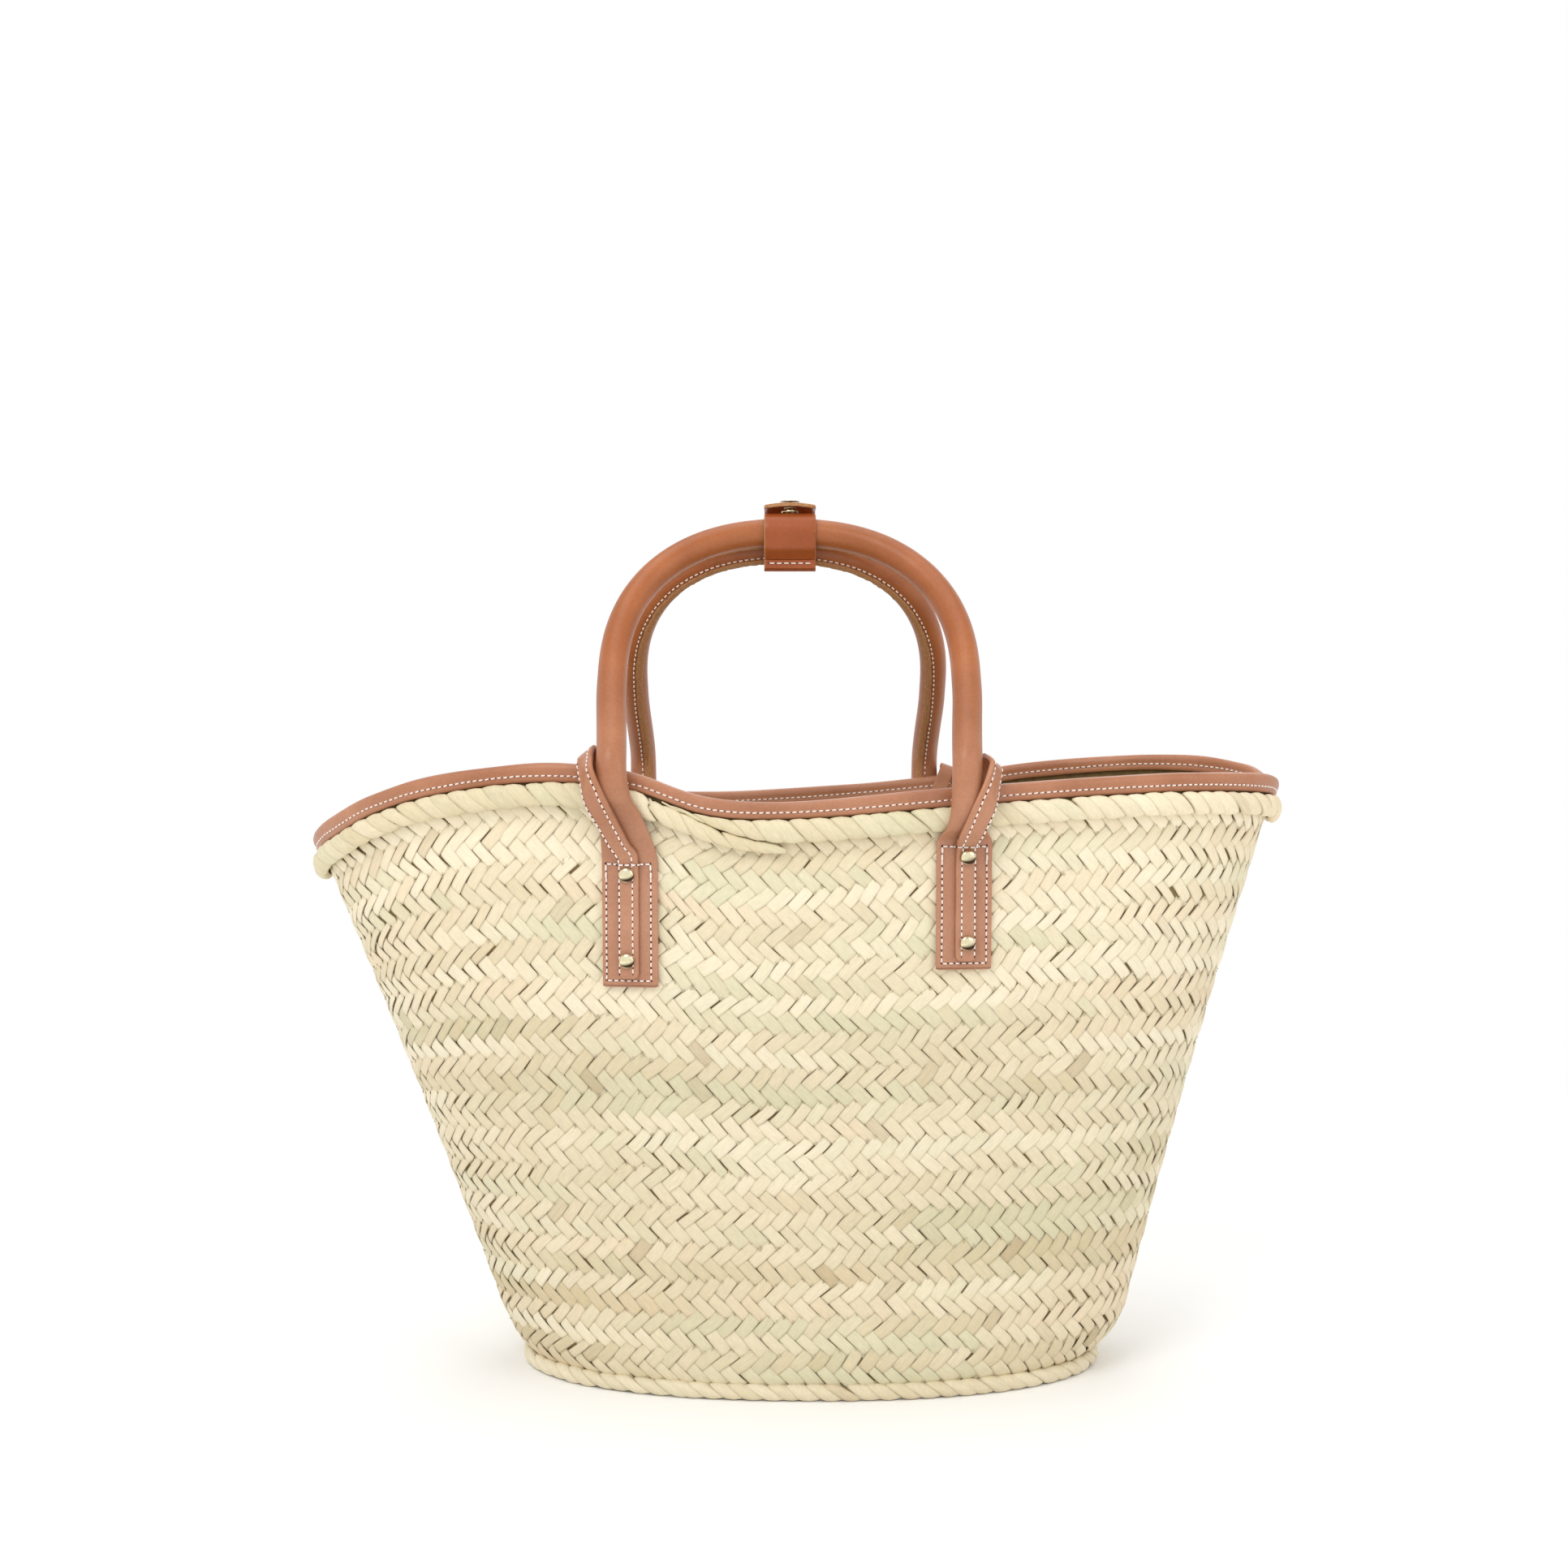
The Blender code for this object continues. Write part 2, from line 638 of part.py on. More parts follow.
def leg_stations(leg):
    """Sections of a leg from the tab's bottom to the hinge.

    Each is x, y, z of the section's centre, its half width and half thickness, its squareness,
    and the y and z of its outward direction.
    """
    arch, end, tab_x, tab_top = LEGS[leg]
    side, centre_x, spread, _, _ = arch
    tube_x = centre_x + end * (spread - LEG_DRAW)
    rim = rim_height(angle_at(tube_x, RIM_LEVEL, side))
    thin = TAB_LEATHER / 2
    bottom = tab_top - TAB_LENGTH
    rope_low = rim - BINDING_HEIGHT - 2 * ROPE_HALF_HEIGHT
    rope_out = 2 * ROPE_HALF_THICK + 4 * GAP
    plan = [
        (tab_x, mix(bottom, tab_top, share), GAP, TAB_HALF_WIDTH, thin, TAB_SQUARENESS)
        for share in (0.0, 0.33, 0.67, 0.98)
    ]
    rises = [
        (mix(tab_top, rope_low, 0.5), GAP + LEG_LIFT),
        (rope_low, rope_out * 0.96),
        (rope_low + ROPE_HALF_HEIGHT, rope_out),
        (rim - BINDING_HEIGHT * 0.75, rope_out * 0.90),
    ]
    for (z, back), (share, half_width, half_thick, square) in zip(rises, LEG_SECTIONS):
        plan.append((mix(tab_x, tube_x, share), z, back, half_width, half_thick, square))
    stations = []
    for x, z, back, half_width, half_thick, square in plan:
        angle = angle_at(x, z, side)
        out = wall_normal(angle, z)
        centre = plan_point(angle, z) + out * (back + half_thick)
        stations.append(
            (x, centre.y, centre.z, half_width, half_thick, square, out.y, out.z)
        )
    foot, up, _ = arch_plane(arch)
    lean_out = Vector((0, side * up.z, -side * up.y))
    for back_off in (LEG_TOP, GAP):
        centre = foot - up * back_off
        stations.append(
            (
                tube_x,
                centre.y,
                centre.z,
                TUBE_RADIUS,
                TUBE_RADIUS,
                2.0,
                lean_out.y,
                lean_out.z,
            )
        )
    return stations


def section_points(station, sides):
    """The outline of one leg section, flat ends square and tube ends round."""
    x, y, z, half_width, half_thick, square, out_y, out_z = station
    out = Vector((0, out_y, out_z)).normalized()
    power = 2.0 / square
    points = []
    for i in range(sides):
        a = 2 * pi * (i + 0.5) / sides
        c, s = cos(a), sin(a)
        dx = half_width * abs(c) ** power * (1 if c >= 0 else -1)
        dn = half_thick * abs(s) ** power * (1 if s >= 0 else -1)
        points.append(Vector((x + dx, y, z)) + out * dn)
    return points


def follow_wall(points, station, side):
    """Bends a flat section round the wall, whose plan is curved."""
    x, y, z, _, half_thick, square, _, _ = station
    share = smooth_step((square - 3.0) / 3.0)
    if share <= 0:
        return points
    at_centre = plan_point(angle_at(x, z, side), z).y
    bent = []
    for p in points:
        here = plan_point(angle_at(p.x, z, side), z).y
        bent.append(Vector((p.x, p.y + (here - at_centre) * share, p.z)))
    return bent


def build_tab(leg, rows=14, sides=16):
    """The flat end of a handle with the flared root that rises to the hinge."""
    stations = leg_stations(leg)
    side = LEGS[leg][0][0]
    points = []
    for i in range(rows):
        station = through(stations, i / (rows - 1))
        points += follow_wall(section_points(station, sides), station, side)
    faces = grid_faces(rows, sides, ring_columns=True)
    faces.append(tuple(reversed(range(sides))))
    faces.append(tuple(range((rows - 1) * sides, rows * sides)))
    name = leg + "_tab"
    mesh = mesh_of(name, points, faces)
    made = bmesh.new()
    made.from_mesh(mesh)
    bmesh.ops.recalc_face_normals(made, faces=made.faces)
    made.to_mesh(mesh)
    made.free()
    return add_object(name, mesh, "leather")


def leg_table(leg, count=80):
    """Sections of a leg close together, so that its outer face can be read at any height."""
    stations = leg_stations(leg)
    return [through(stations, i / count) for i in range(count + 1)]


def leg_reach(leg, x, z):
    """How far the leg's outer face stands off the wall at this x and height."""
    side = LEGS[leg][0][0]
    table = TABLES.setdefault(leg, leg_table(leg))
    if z < table[0][2] or z > table[-1][2]:
        return 0.0
    station = min(table, key=lambda s: abs(s[2] - z))
    dx = abs(x - station[0]) / station[3]
    if dx >= 1.0:
        return 0.0
    bulge = station[4] * (1.0 - dx ** station[5]) ** (1.0 / station[5])
    wall = plan_point(angle_at(station[0], z, side), z).y
    return abs(station[1]) - abs(wall) + bulge


def stack_reach(leg, x, z):
    """How far the rope, the binding and the leg stand off the wall, whichever is most."""
    side = LEGS[leg][0][0]
    rim = rim_height(angle_at(x, z, side))
    reach = 0.0
    if z > rim - BINDING_HEIGHT - EDGE_MARGIN:
        reach = GAP + BINDING_CLEAR + BINDING_LEATHER
    rope_top = rim - BINDING_HEIGHT + EDGE_MARGIN
    if rope_top - 2 * (ROPE_HALF_HEIGHT + EDGE_MARGIN) < z < rope_top:
        reach = max(reach, 2 * ROPE_HALF_THICK + 3 * GAP)
    return max(reach, leg_reach(leg, x, z))


# ---------------------------------------------------------------- over-rim straps


def strap_edges(leg):
    """Outer and inner edges of a strap, as (x, z) from its foot on the tab up to its fold."""
    arch, end, tab_x, tab_top = LEGS[leg]
    side, centre_x, spread, _, _ = arch
    tube_x = centre_x + end * (spread - LEG_DRAW)
    rim = rim_height(angle_at(tube_x, RIM_LEVEL, side))
    foot = tab_top - TAB_LENGTH + STRAP_FOOT
    half = end * STRAP_WIDTH / 2
    outer_fold, inner_fold = (rim + rise for rise in FOLDS[leg])
    edges = []
    for x, top, fold, bend, path in (
        (tab_x + half, tab_top - OUTER_EDGE_CUT, outer_fold, OUTER_BEND, OUTER_PATH),
        (tab_x - half, tab_top, inner_fold, INNER_BEND, INNER_PATH),
    ):
        bend_x = mix(x, tube_x + end * bend[0], STRAP_BEND_SHARE)
        bend_z = mix(tab_top, fold - bend[1], STRAP_BEND_SHARE)
        edge = [(x, foot), (x, mix(foot, tab_top, 0.5)), (x, top), (bend_x, bend_z)]
        edge += [(tube_x + end * out, fold - drop) for out, drop in path]
        edges.append(edge)
    return edges


def softened(field):
    """A grid of heights blurred a little, but nowhere lower than it was."""
    rows, columns = len(field), len(field[0])
    for _ in range(3):
        blurred = []
        for i in range(rows):
            row = []
            for j in range(columns):
                near = [
                    field[min(max(i + di, 0), rows - 1)][min(max(j + dj, 0), columns - 1)]
                    for di in (-1, 0, 1)
                    for dj in (-1, 0, 1)
                ]
                row.append(max(field[i][j], sum(near) / len(near)))
            blurred.append(row)
        field = blurred
    return field


def build_strap(leg, rows=20, columns=4):
    """A flat strap that holds a handle down: up the tab, over the rim and down inside."""
    outer, inner = strap_edges(leg)
    side = LEGS[leg][0][0]

    def place(t, j):
        f = j / (columns - 1)
        ax, az = through(outer, t)
        bx, bz = through(inner, t)
        return mix(ax, bx, f), mix(az, bz, f)

    nearby = (-STRAP_SEARCH, 0.0, STRAP_SEARCH)
    reach = []
    for i in range(rows):
        row = []
        for j in range(columns):
            x, z = place(i / (rows - 1), j)
            beside = [stack_reach(leg, x + dx, z) for dx in nearby]
            above = [stack_reach(leg, x, z + dz) for dz in nearby]
            row.append(max(beside + above))
        reach.append(row)
    reach = softened(reach)
    flat_top = LEGS[leg][3] - STRAP_FLAT_CUT
    grid = []
    for i in range(rows):
        row = []
        for j in range(columns):
            x, z = place(i / (rows - 1), j)
            most = GAP + TAB_LEATHER + max(0.0, z - flat_top) * STRAP_CLIMB
            row.append(face_point(x, z, side, min(reach[i][j], most) + GAP))
        grid.append(row)
    # Over the rim, then down the inside beside its own path to the same two rivets.
    inside = WALL + PATCH_LEATHER + 2 * GAP + STRAP_INSIDE_CLEAR
    for offset, rise in OVER_RIM + ((-inside, STRAP_INSIDE_DROP),):
        row = []
        for j in range(columns):
            x, z = place(1.0, j)
            row.append(face_point(x, z + rise, side, offset))
        grid.append(row)
    steps = 9
    for i in range(1, steps + 1):
        row = []
        for j in range(columns):
            x, z = place(1.0 - i / steps, j)
            row.append(face_point(x, z, side, -inside))
        grid.append(row)
    points = [p for row in grid for p in row]
    name = leg + "_strap"
    mesh = mesh_of(name, points, grid_faces(len(grid), columns))
    strap = add_object(name, mesh, "leather")
    if mesh.polygons[0].normal.y * side < 0:
        mesh.flip_normals()
    solid = add_solidify(strap, STRAP_LEATHER, offset=1.0)
    solid.use_even_offset = False
    return strap


def build_patch(leg, rows=4, columns=4):
    """The leather patch inside the wall behind a tab."""
    arch, _, tab_x, tab_top = LEGS[leg]
    side = arch[0]
    top, bottom = tab_top + PATCH_LAP, tab_top - TAB_LENGTH - PATCH_LAP
    points = []
    for i in range(rows):
        for j in range(columns):
            x = tab_x + TAB_HALF_WIDTH * mix(-1, 1, j / (columns - 1))
            z = mix(bottom, top, i / (rows - 1))
            points.append(face_point(x, z, side, -(WALL + GAP + PATCH_LEATHER)))
    name = leg + "_inner_patch"
    mesh = mesh_of(name, points, grid_faces(rows, columns))
    patch = add_object(name, mesh, "leather")
    if mesh.polygons[0].normal.y * side < 0:
        mesh.flip_normals()
    add_solidify(patch, PATCH_LEATHER, offset=1.0)
    return patch


# ---------------------------------------------------------------- rivets


def turned(name, profile, slot, place, direction, parent=None, steps=12):
    """A turned piece: its profile is (radius, height) down the outer side."""
    mesh = bpy.data.meshes.new(name)
    edges = [(i, i + 1) for i in range(len(profile) - 1)]
    mesh.from_pydata([(r, 0.0, h) for r, h in profile], edges, [])
    obj = bpy.data.objects.new(name, mesh)
    PARTS.objects.link(obj)
    mesh.materials.append(new_material(name, slot))
    obj.rotation_mode = "QUATERNION"
    obj.rotation_quaternion = Vector((0, 0, 1)).rotation_difference(direction)
    obj.location = place
    if parent is not None:
        bpy.context.view_layer.update()
        obj.parent = parent
        obj.matrix_parent_inverse = parent.matrix_world.inverted()
    screw = obj.modifiers.new("turn", "SCREW")
    screw.steps = steps
    screw.render_steps = steps
    screw.use_merge_vertices = True
    screw.merge_threshold = 0.00001
    screw.use_smooth_shade = True
    return obj


def dome(radius, height, base, steps=3):
    """Profile of a domed cap from its crown to its rim."""
    return [
        (radius * sin(pi / 2 * i / steps), base + height * cos(pi / 2 * i / steps))
        for i in range(steps + 1)
    ]


def rivet_places(leg):
    """Where a leg's two rivets pass through the wall, upper first."""
    _, end, tab_x, tab_top = LEGS[leg]
    x = tab_x + end * RIVET_SHIFT
    upper = tab_top - RIVET_INSET
    return {"upper": (x, upper), "lower": (x, upper - RIVET_SPACING)}


def hole_cutter(name, place, direction):
    """A hidden cylinder that cuts one rivet hole through everything."""
    mesh = bpy.data.meshes.new(name)
    made = bmesh.new()
    bmesh.ops.create_cone(
        made,
        cap_ends=True,
        segments=12,
        radius1=POST_HOLE,
        radius2=POST_HOLE,
        depth=DRILL_LENGTH,
    )
    made.to_mesh(mesh)
    made.free()
    cutter = bpy.data.objects.new(name, mesh)
    GUIDES.objects.link(cutter)
    cutter.hide_render = True
    cutter.display_type = "WIRE"
    cutter.rotation_mode = "QUATERNION"
    cutter.rotation_quaternion = Vector((0, 0, 1)).rotation_difference(direction)
    cutter.location = place
    return cutter


def build_rivets(leg, layers):
    """Two rivets a leg, each an outer cap with its post and a cap inside, in drilled holes."""
    side = LEGS[leg][0][0]
    outside = GAP + TAB_LEATHER + GAP + STRAP_LEATHER + GAP + FRONT_CLEAR
    inside = WALL + PATCH_LEATHER + 2 * GAP + STRAP_LEATHER + GAP + BACK_CLEAR
    for level, (x, z) in rivet_places(leg).items():
        angle = angle_at(x, z, side)
        out = wall_normal(angle, z)
        surface = plan_point(angle, z)
        cutter = hole_cutter(f"{leg}_{level}_hole", surface, out)
        for layer in layers:
            cut(layer, cutter)
        shank = outside + inside + POST_SPARE
        cap = dome(RIVET_RADIUS, RIVET_HEIGHT - RIVET_RIM, RIVET_RIM)
        cap += [(RIVET_RADIUS, 0.0), (POST_RADIUS, 0.0), (POST_RADIUS, -shank), (0.0, -shank)]
        turned(f"{leg}_{level}_rivet", cap, "brass", surface + out * outside, out)
        back = dome(BACK_RADIUS, BACK_DOME, RIVET_RIM)
        back += [
            (BACK_RADIUS, 0.0),
            (POST_HOLE, 0.0),
            (POST_HOLE, BACK_RECESS),
            (0.0, BACK_RECESS),
        ]
        turned(
            f"{leg}_{level}_rivet_back", back, "brass", surface - out * inside, -out
        )


# ---------------------------------------------------------------- keeper


def keeper_sheet(name, path, axis, centre_x, crown=0.0):
    """A strip of keeper leather along a (y, z) path, thickened away from the handles."""
    columns = 5
    points = []
    for y, z in path:
        for j in range(columns):
            u = mix(-1, 1, j / (columns - 1))
            points.append((centre_x + KEEPER_HALF_WIDTH * u, y, z - crown * u * u))
    mesh = mesh_of(name, points, grid_faces(len(path), columns))
    sheet = add_object(name, mesh, "leather", axis)
    return sheet


def arc(centre, radius, start, stop, steps):
    """Points of a circle in the Y-Z plane, angles in degrees from +Y toward +Z."""
    places = []
    for i in range(steps + 1):
        a = radians(mix(start, stop, i / steps))
        places.append((centre[0] + radius * cos(a), centre[1] + radius * sin(a)))
    return places


def build_keeper(axes):
    front = (-FRONT_ARCH[3], FRONT_ARCH[4])
    rear = (REAR_ARCH[3], REAR_ARCH[4])
    hug = TUBE_RADIUS + KEEPER_CLEAR
    wide = TUBE_RADIUS + WRAP_CLEAR
    x = HANDLE_CENTRE_X + KEEPER_SHIFT
    # The panel: up the front tube's face and over its top, under the snap.
    panel = [(SEAM_Y + dy, SEAM_Z + dz) for dy, dz in PANEL_FOOT]
    panel += [(front[0] - hug + PANEL_BEND[0], front[1] - hug + PANEL_BEND[1])]
    panel += arc(front, hug, *PANEL_ARC, 8)
    sheet = keeper_sheet("keeper_front_panel", panel, axes["front"], x)
    if sheet.data.polygons[len(sheet.data.polygons) // 2].normal.y > 0:
        sheet.data.flip_normals()
    add_solidify(sheet, KEEPER_LEATHER, offset=1.0)
    # The wrap: from the seam, under both tubes and up behind the rear one.
    wrap = [(SEAM_Y + dy, SEAM_Z + dz) for dy, dz in WRAP_FOOT]
    wrap += arc(rear, wide, *WRAP_ARC, 8)
    wrap += [(rear[0] + wide, TIP_Z - WRAP_TOP_GAP)]
    sheet = keeper_sheet("keeper_wrap", wrap, axes["wrap"], x)
    if sheet.data.polygons[-1].normal.y < 0:
        sheet.data.flip_normals()
    add_solidify(sheet, KEEPER_LEATHER, offset=1.0)
    # The tip: from the top of the wrap forward over the snap.
    snap_y = front[0] + SNAP_FORWARD
    top_z = front[1] + hug + KEEPER_LEATHER + SNAP_ROOM
    start = rear[0] + wide
    tip = [(start + dy, TIP_Z + dz) for dy, dz in TIP_FOOT]
    tip += [(start + dy, top_z + dz) for dy, dz in TIP_TURN]
    tip += [(snap_y + dy, top_z + dz) for dy, dz in TIP_END]
    sheet = keeper_sheet("keeper_tip", tip, axes["tip"], x, crown=TIP_CROWN)
    if sheet.data.polygons[-1].normal.z < 0:
        sheet.data.flip_normals()
    add_solidify(sheet, KEEPER_LEATHER, offset=1.0)
    build_snap(x, snap_y, front[1] + hug + KEEPER_LEATHER, top_z, axes)


def build_snap(x, y, panel_top, tip_under, axes):
    """The snap: a socket on the panel, and a cap with its stud on the tip."""
    up = Vector((0, 0, 1))
    low = panel_top + GAP
    socket = [(SNAP_MOUTH, SOCKET_HEIGHT), (SNAP_RING, SOCKET_HEIGHT)]
    socket += [(SNAP_SKIRT, SOCKET_HEIGHT * 0.7), (SNAP_SKIRT, 0.0)]
    socket += [(SNAP_MOUTH, 0.0), (SNAP_MOUTH, SOCKET_HEIGHT)]
    turned("keeper_snap_socket", socket, "brass", Vector((x, y, low)), up, axes["front"])
    stud = [(0.0, 0.0), (STUD_RADIUS, 0.0), (STUD_RADIUS, -STUD_PLATE), (STEM_RADIUS, -STUD_PLATE)]
    stud += [(STEM_RADIUS, -STUD_DEPTH * 0.75), (STEM_RADIUS * 0.7, -STUD_DEPTH)]
    stud += [(0.0, -STUD_DEPTH)]
    seat = Vector((x, y, tip_under - STUD_SEAT))
    turned("keeper_snap_stud", stud, "brass", seat, up, axes["tip"])
    cap = dome(SNAP_RADIUS, CAP_DOME, CAP_RIM, 4) + [(SNAP_RADIUS, 0.0), (0.0, 0.0)]
    above = tip_under + KEEPER_LEATHER + CAP_SEAT
    turned("keeper_snap_cap", cap, "brass", Vector((x, y, above)), up, axes["tip"])


def hinge_place(arch):
    """Middle of a handle's hinge line: the outer face of its tube at the hinge."""
    foot, up, _ = arch_plane(arch)
    side = arch[0]
    outward = Vector((0, side * up.z, -side * up.y))
    return foot + outward * (TUBE_RADIUS + HINGE_CLEAR)


def build_all():
    wall = build_wall()
    build_base()
    build_foot_rope()
    build_rim_rope()
    build_binding()
    outline = slit_profile()
    axes = {
        "front": add_axis("front_handle_axis", hinge_place(FRONT_ARCH)),
        "rear": add_axis("rear_handle_axis", hinge_place(REAR_ARCH)),
    }
    axes["wrap"] = add_axis("keeper_wrap_axis", (HANDLE_CENTRE_X, SEAM_Y, SEAM_Z - WRAP_AXIS_DROP))
    axes["wrap"].parent = axes["front"]
    axes["wrap"].matrix_parent_inverse = axes["front"].matrix_world.inverted()
    tip_y = REAR_ARCH[3] + TUBE_RADIUS + WRAP_CLEAR + KEEPER_LEATHER + TIP_AXIS_CLEAR
    axes["tip"] = add_axis("keeper_tip_axis", (HANDLE_CENTRE_X, tip_y, TIP_Z))
    bpy.context.view_layer.update()
    axes["tip"].parent = axes["wrap"]
    axes["tip"].matrix_parent_inverse = axes["wrap"].matrix_world.inverted()
    bpy.context.view_layer.update()
    build_cover("front_handle_cover", FRONT_ARCH, outline, axes["front"])
    build_core("front_handle_core", FRONT_ARCH, axes["front"])
    build_cover("rear_handle_cover", REAR_ARCH, outline, axes["rear"])
    build_core("rear_handle_core", REAR_ARCH, axes["rear"])
    for leg in LEGS:
        layers = [wall, build_tab(leg), build_strap(leg), build_patch(leg)]
        build_rivets(leg, layers)
    build_keeper(axes)


clear_scene()
PARTS = new_collection("market_basket")
GUIDES = new_collection("guides_and_cutters")
build_all()
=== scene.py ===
"""Looks of the market basket: plaited leaf, wrapped ropes, stitched leather and metal.

Metres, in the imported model's frame: +X to the right of the front, +Y to the rear, +Z up.
"""

import bpy
import numpy as np
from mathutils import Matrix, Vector


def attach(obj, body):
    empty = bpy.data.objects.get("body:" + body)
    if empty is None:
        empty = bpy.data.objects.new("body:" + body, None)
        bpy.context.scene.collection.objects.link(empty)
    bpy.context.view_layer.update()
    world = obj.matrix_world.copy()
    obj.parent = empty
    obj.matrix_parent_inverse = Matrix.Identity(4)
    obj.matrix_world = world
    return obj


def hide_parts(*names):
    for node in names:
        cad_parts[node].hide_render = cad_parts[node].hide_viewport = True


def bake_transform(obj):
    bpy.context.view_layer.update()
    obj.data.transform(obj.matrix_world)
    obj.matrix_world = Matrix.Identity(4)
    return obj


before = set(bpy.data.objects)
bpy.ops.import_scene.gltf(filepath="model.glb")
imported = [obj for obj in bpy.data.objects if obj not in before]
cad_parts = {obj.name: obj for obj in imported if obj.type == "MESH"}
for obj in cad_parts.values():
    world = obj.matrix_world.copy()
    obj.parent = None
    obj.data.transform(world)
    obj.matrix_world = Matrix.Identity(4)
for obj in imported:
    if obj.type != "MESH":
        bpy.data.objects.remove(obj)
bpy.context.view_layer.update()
rng = np.random.default_rng(11)
PI = np.pi

# ---------------------------------------------------------------- dimensions, as in the CAD

HANDLE_CENTRE_X = -0.0041
LEFT_AT_BASE, LEFT_FLARE = 0.1320, 0.393
RIGHT_AT_BASE, RIGHT_FLARE = 0.1600, 0.280
WAIST, WAIST_HEIGHT = 0.0020, 0.27
DEPTH_AT_BASE, DEPTH_FLARE = 0.0745, 0.052
PLAN_POWER, FOOT_POWER, POWER_HEIGHT = 2.1, 2.2, 0.19
TUCK_LEFT, TUCK_RIGHT, TUCK_DEPTH, TUCK_HEIGHT = 0.010, 0.020, 0.004, 0.028
WALL_FOOT = 0.0078
FOOT_ROPE_OFFSET, FOOT_ROPE_BOTTOM = -0.0008, 0.0006
WALL = 0.0026
GAP = 0.0003
# A height near the rim, at which an x is turned into an angle round the basket.
RIM_LEVEL = 0.28
RIM_HEIGHTS = [
    (0, 0.2850), (15, 0.2935), (38, 0.2980), (57, 0.2940), (72, 0.2860), (95, 0.2780),
    (110, 0.2785), (128, 0.2840), (148, 0.2790), (165, 0.2670), (180, 0.2570),
    (203, 0.2687), (217, 0.2807), (228, 0.2890), (243, 0.2955), (254, 0.2925),
    (262, 0.2810), (270, 0.2792), (288, 0.2850), (303, 0.2890), (322, 0.2910), (345, 0.2890),
]
BINDING_HEIGHT = 0.0082
BINDING_LEATHER = 0.0014
BINDING_CLEAR = 0.0004
ROPE_HALF_HEIGHT, ROPE_HALF_THICK = 0.0050, 0.0028
# The rim rope starts thin, swells, runs once round and laps under its own start, thinning out.
ROPE_START, ROPE_END = 257.5, 630.0
ROPE_TIP_SIZE, ROPE_TIP_TURN = 0.12, 13.0
ROPE_TAIL_SIZE, ROPE_TAIL_TURN = 0.42, 17.0
ROPE_LAP_TURN, ROPE_LEAST_STANDOFF = 2.0, 0.75
FOOT_HALF_HEIGHT, FOOT_HALF_THICK = 0.0034, 0.0024
TAB_HALF_WIDTH, TAB_LENGTH, TAB_LEATHER = 0.01275, 0.0580, 0.0022
STRAP_WIDTH, STRAP_LEATHER, STRAP_FOOT = 0.0092, 0.0020, 0.0042
PATCH_LEATHER = 0.0016
RIVET_RADIUS, RIVET_HEIGHT, RIVET_SPACING = 0.0034, 0.0019, 0.0392
RIVET_INSET, RIVET_SHIFT = 0.0062, 0.0007
FRONT_CLEAR, BACK_CLEAR = 0.0003, 0.0002
TUBE_RADIUS = 0.0068
HINGE_Y, HINGE_Z = 0.0955, 0.2985
ARCH_POWER, STRAIGHT, LEG_DRAW = 2.3, 0.050, 0.0020
FRONT_ARCH = (-1, HANDLE_CENTRE_X, 0.0818, 0.0078, 0.4078)
REAR_ARCH = (1, HANDLE_CENTRE_X - 0.0025, 0.0783, 0.0076, 0.4008)
LEGS = {
    "front_left": (FRONT_ARCH, -1, HANDLE_CENTRE_X - 0.0724, 0.2520),
    "front_right": (FRONT_ARCH, 1, HANDLE_CENTRE_X + 0.0795, 0.2600),
    "rear_left": (REAR_ARCH, -1, HANDLE_CENTRE_X - 0.0765, 0.2440),
    "rear_right": (REAR_ARCH, 1, HANDLE_CENTRE_X + 0.0745, 0.2550),
}
# How far each strap's fold stands above the rim, at its outer and its inner edge.
FOLDS = {
    "front_left": (0.0022, 0.0080),
    "front_right": (0.0070, 0.0128),
    "rear_left": (0.0022, 0.0080),
    "rear_right": (0.0022, 0.0046),
}
# Above its tab each edge of a strap bends away, then runs up to its fold. Points are how far out
# from the tube's centre line and how far below the fold; the first of each is the bend.
OUTER_BEND, OUTER_PATH = (0.0044, 0.029), ((0.0070, 0.0220), (0.0106, 0.0120), (0.0146, 0.0))
INNER_BEND = (-0.0052, 0.033)
INNER_PATH = ((-0.0014, 0.0225), (0.0034, 0.0110), (TUBE_RADIUS + 0.0008, 0.0))
STRAP_BEND_SHARE, OUTER_EDGE_CUT = 0.6, 0.002
# The strap lies flat up to a little below its tab's top, then may rise over what it crosses.
STRAP_FLAT_CUT, STRAP_CLIMB, STRAP_SEARCH = 0.0025, 2.0, 0.0016
BINDING_MARGIN, ROPE_MARGIN = 0.0010, 0.0012
# Where it goes over the rim, as (distance outside the wall, height above the fold).
OVER_RIM = ((0.0006, 0.0012), (-0.0020, 0.0012))
STRAP_INSIDE_CLEAR, STRAP_INSIDE_DROP = 0.0004, -0.0010
# Sections of a leg between its tab and the tube: share of the way across to the tube, half
# width, half thickness and squareness.
TAB_SQUARENESS = 9.0
LEG_LIFT, LEG_TOP = 0.0026, 0.0045
LEG_SECTIONS = (
    (0.24, 0.0113, 0.0017, 6.0),
    (0.62, 0.0092, 0.0029, 3.6),
    (0.82, 0.0079, 0.0045, 2.6),
    (0.95, 0.0072, 0.0059, 2.2),
)
KEEPER_HALF_WIDTH, KEEPER_LEATHER = 0.0126, 0.0018
KEEPER_CLEAR, WRAP_CLEAR = 0.0007, 0.0016
SNAP_RADIUS, SNAP_MOUTH = 0.0048, 0.0021
KEEPER_SHIFT, SNAP_ROOM, TIP_CROWN = 0.0005, 0.0034, 0.0012
SEAM_Y = -FRONT_ARCH[3] + 0.0012
SEAM_Z = FRONT_ARCH[4] - TUBE_RADIUS - KEEPER_CLEAR - 0.0068
TIP_Z = FRONT_ARCH[4] + 0.0022
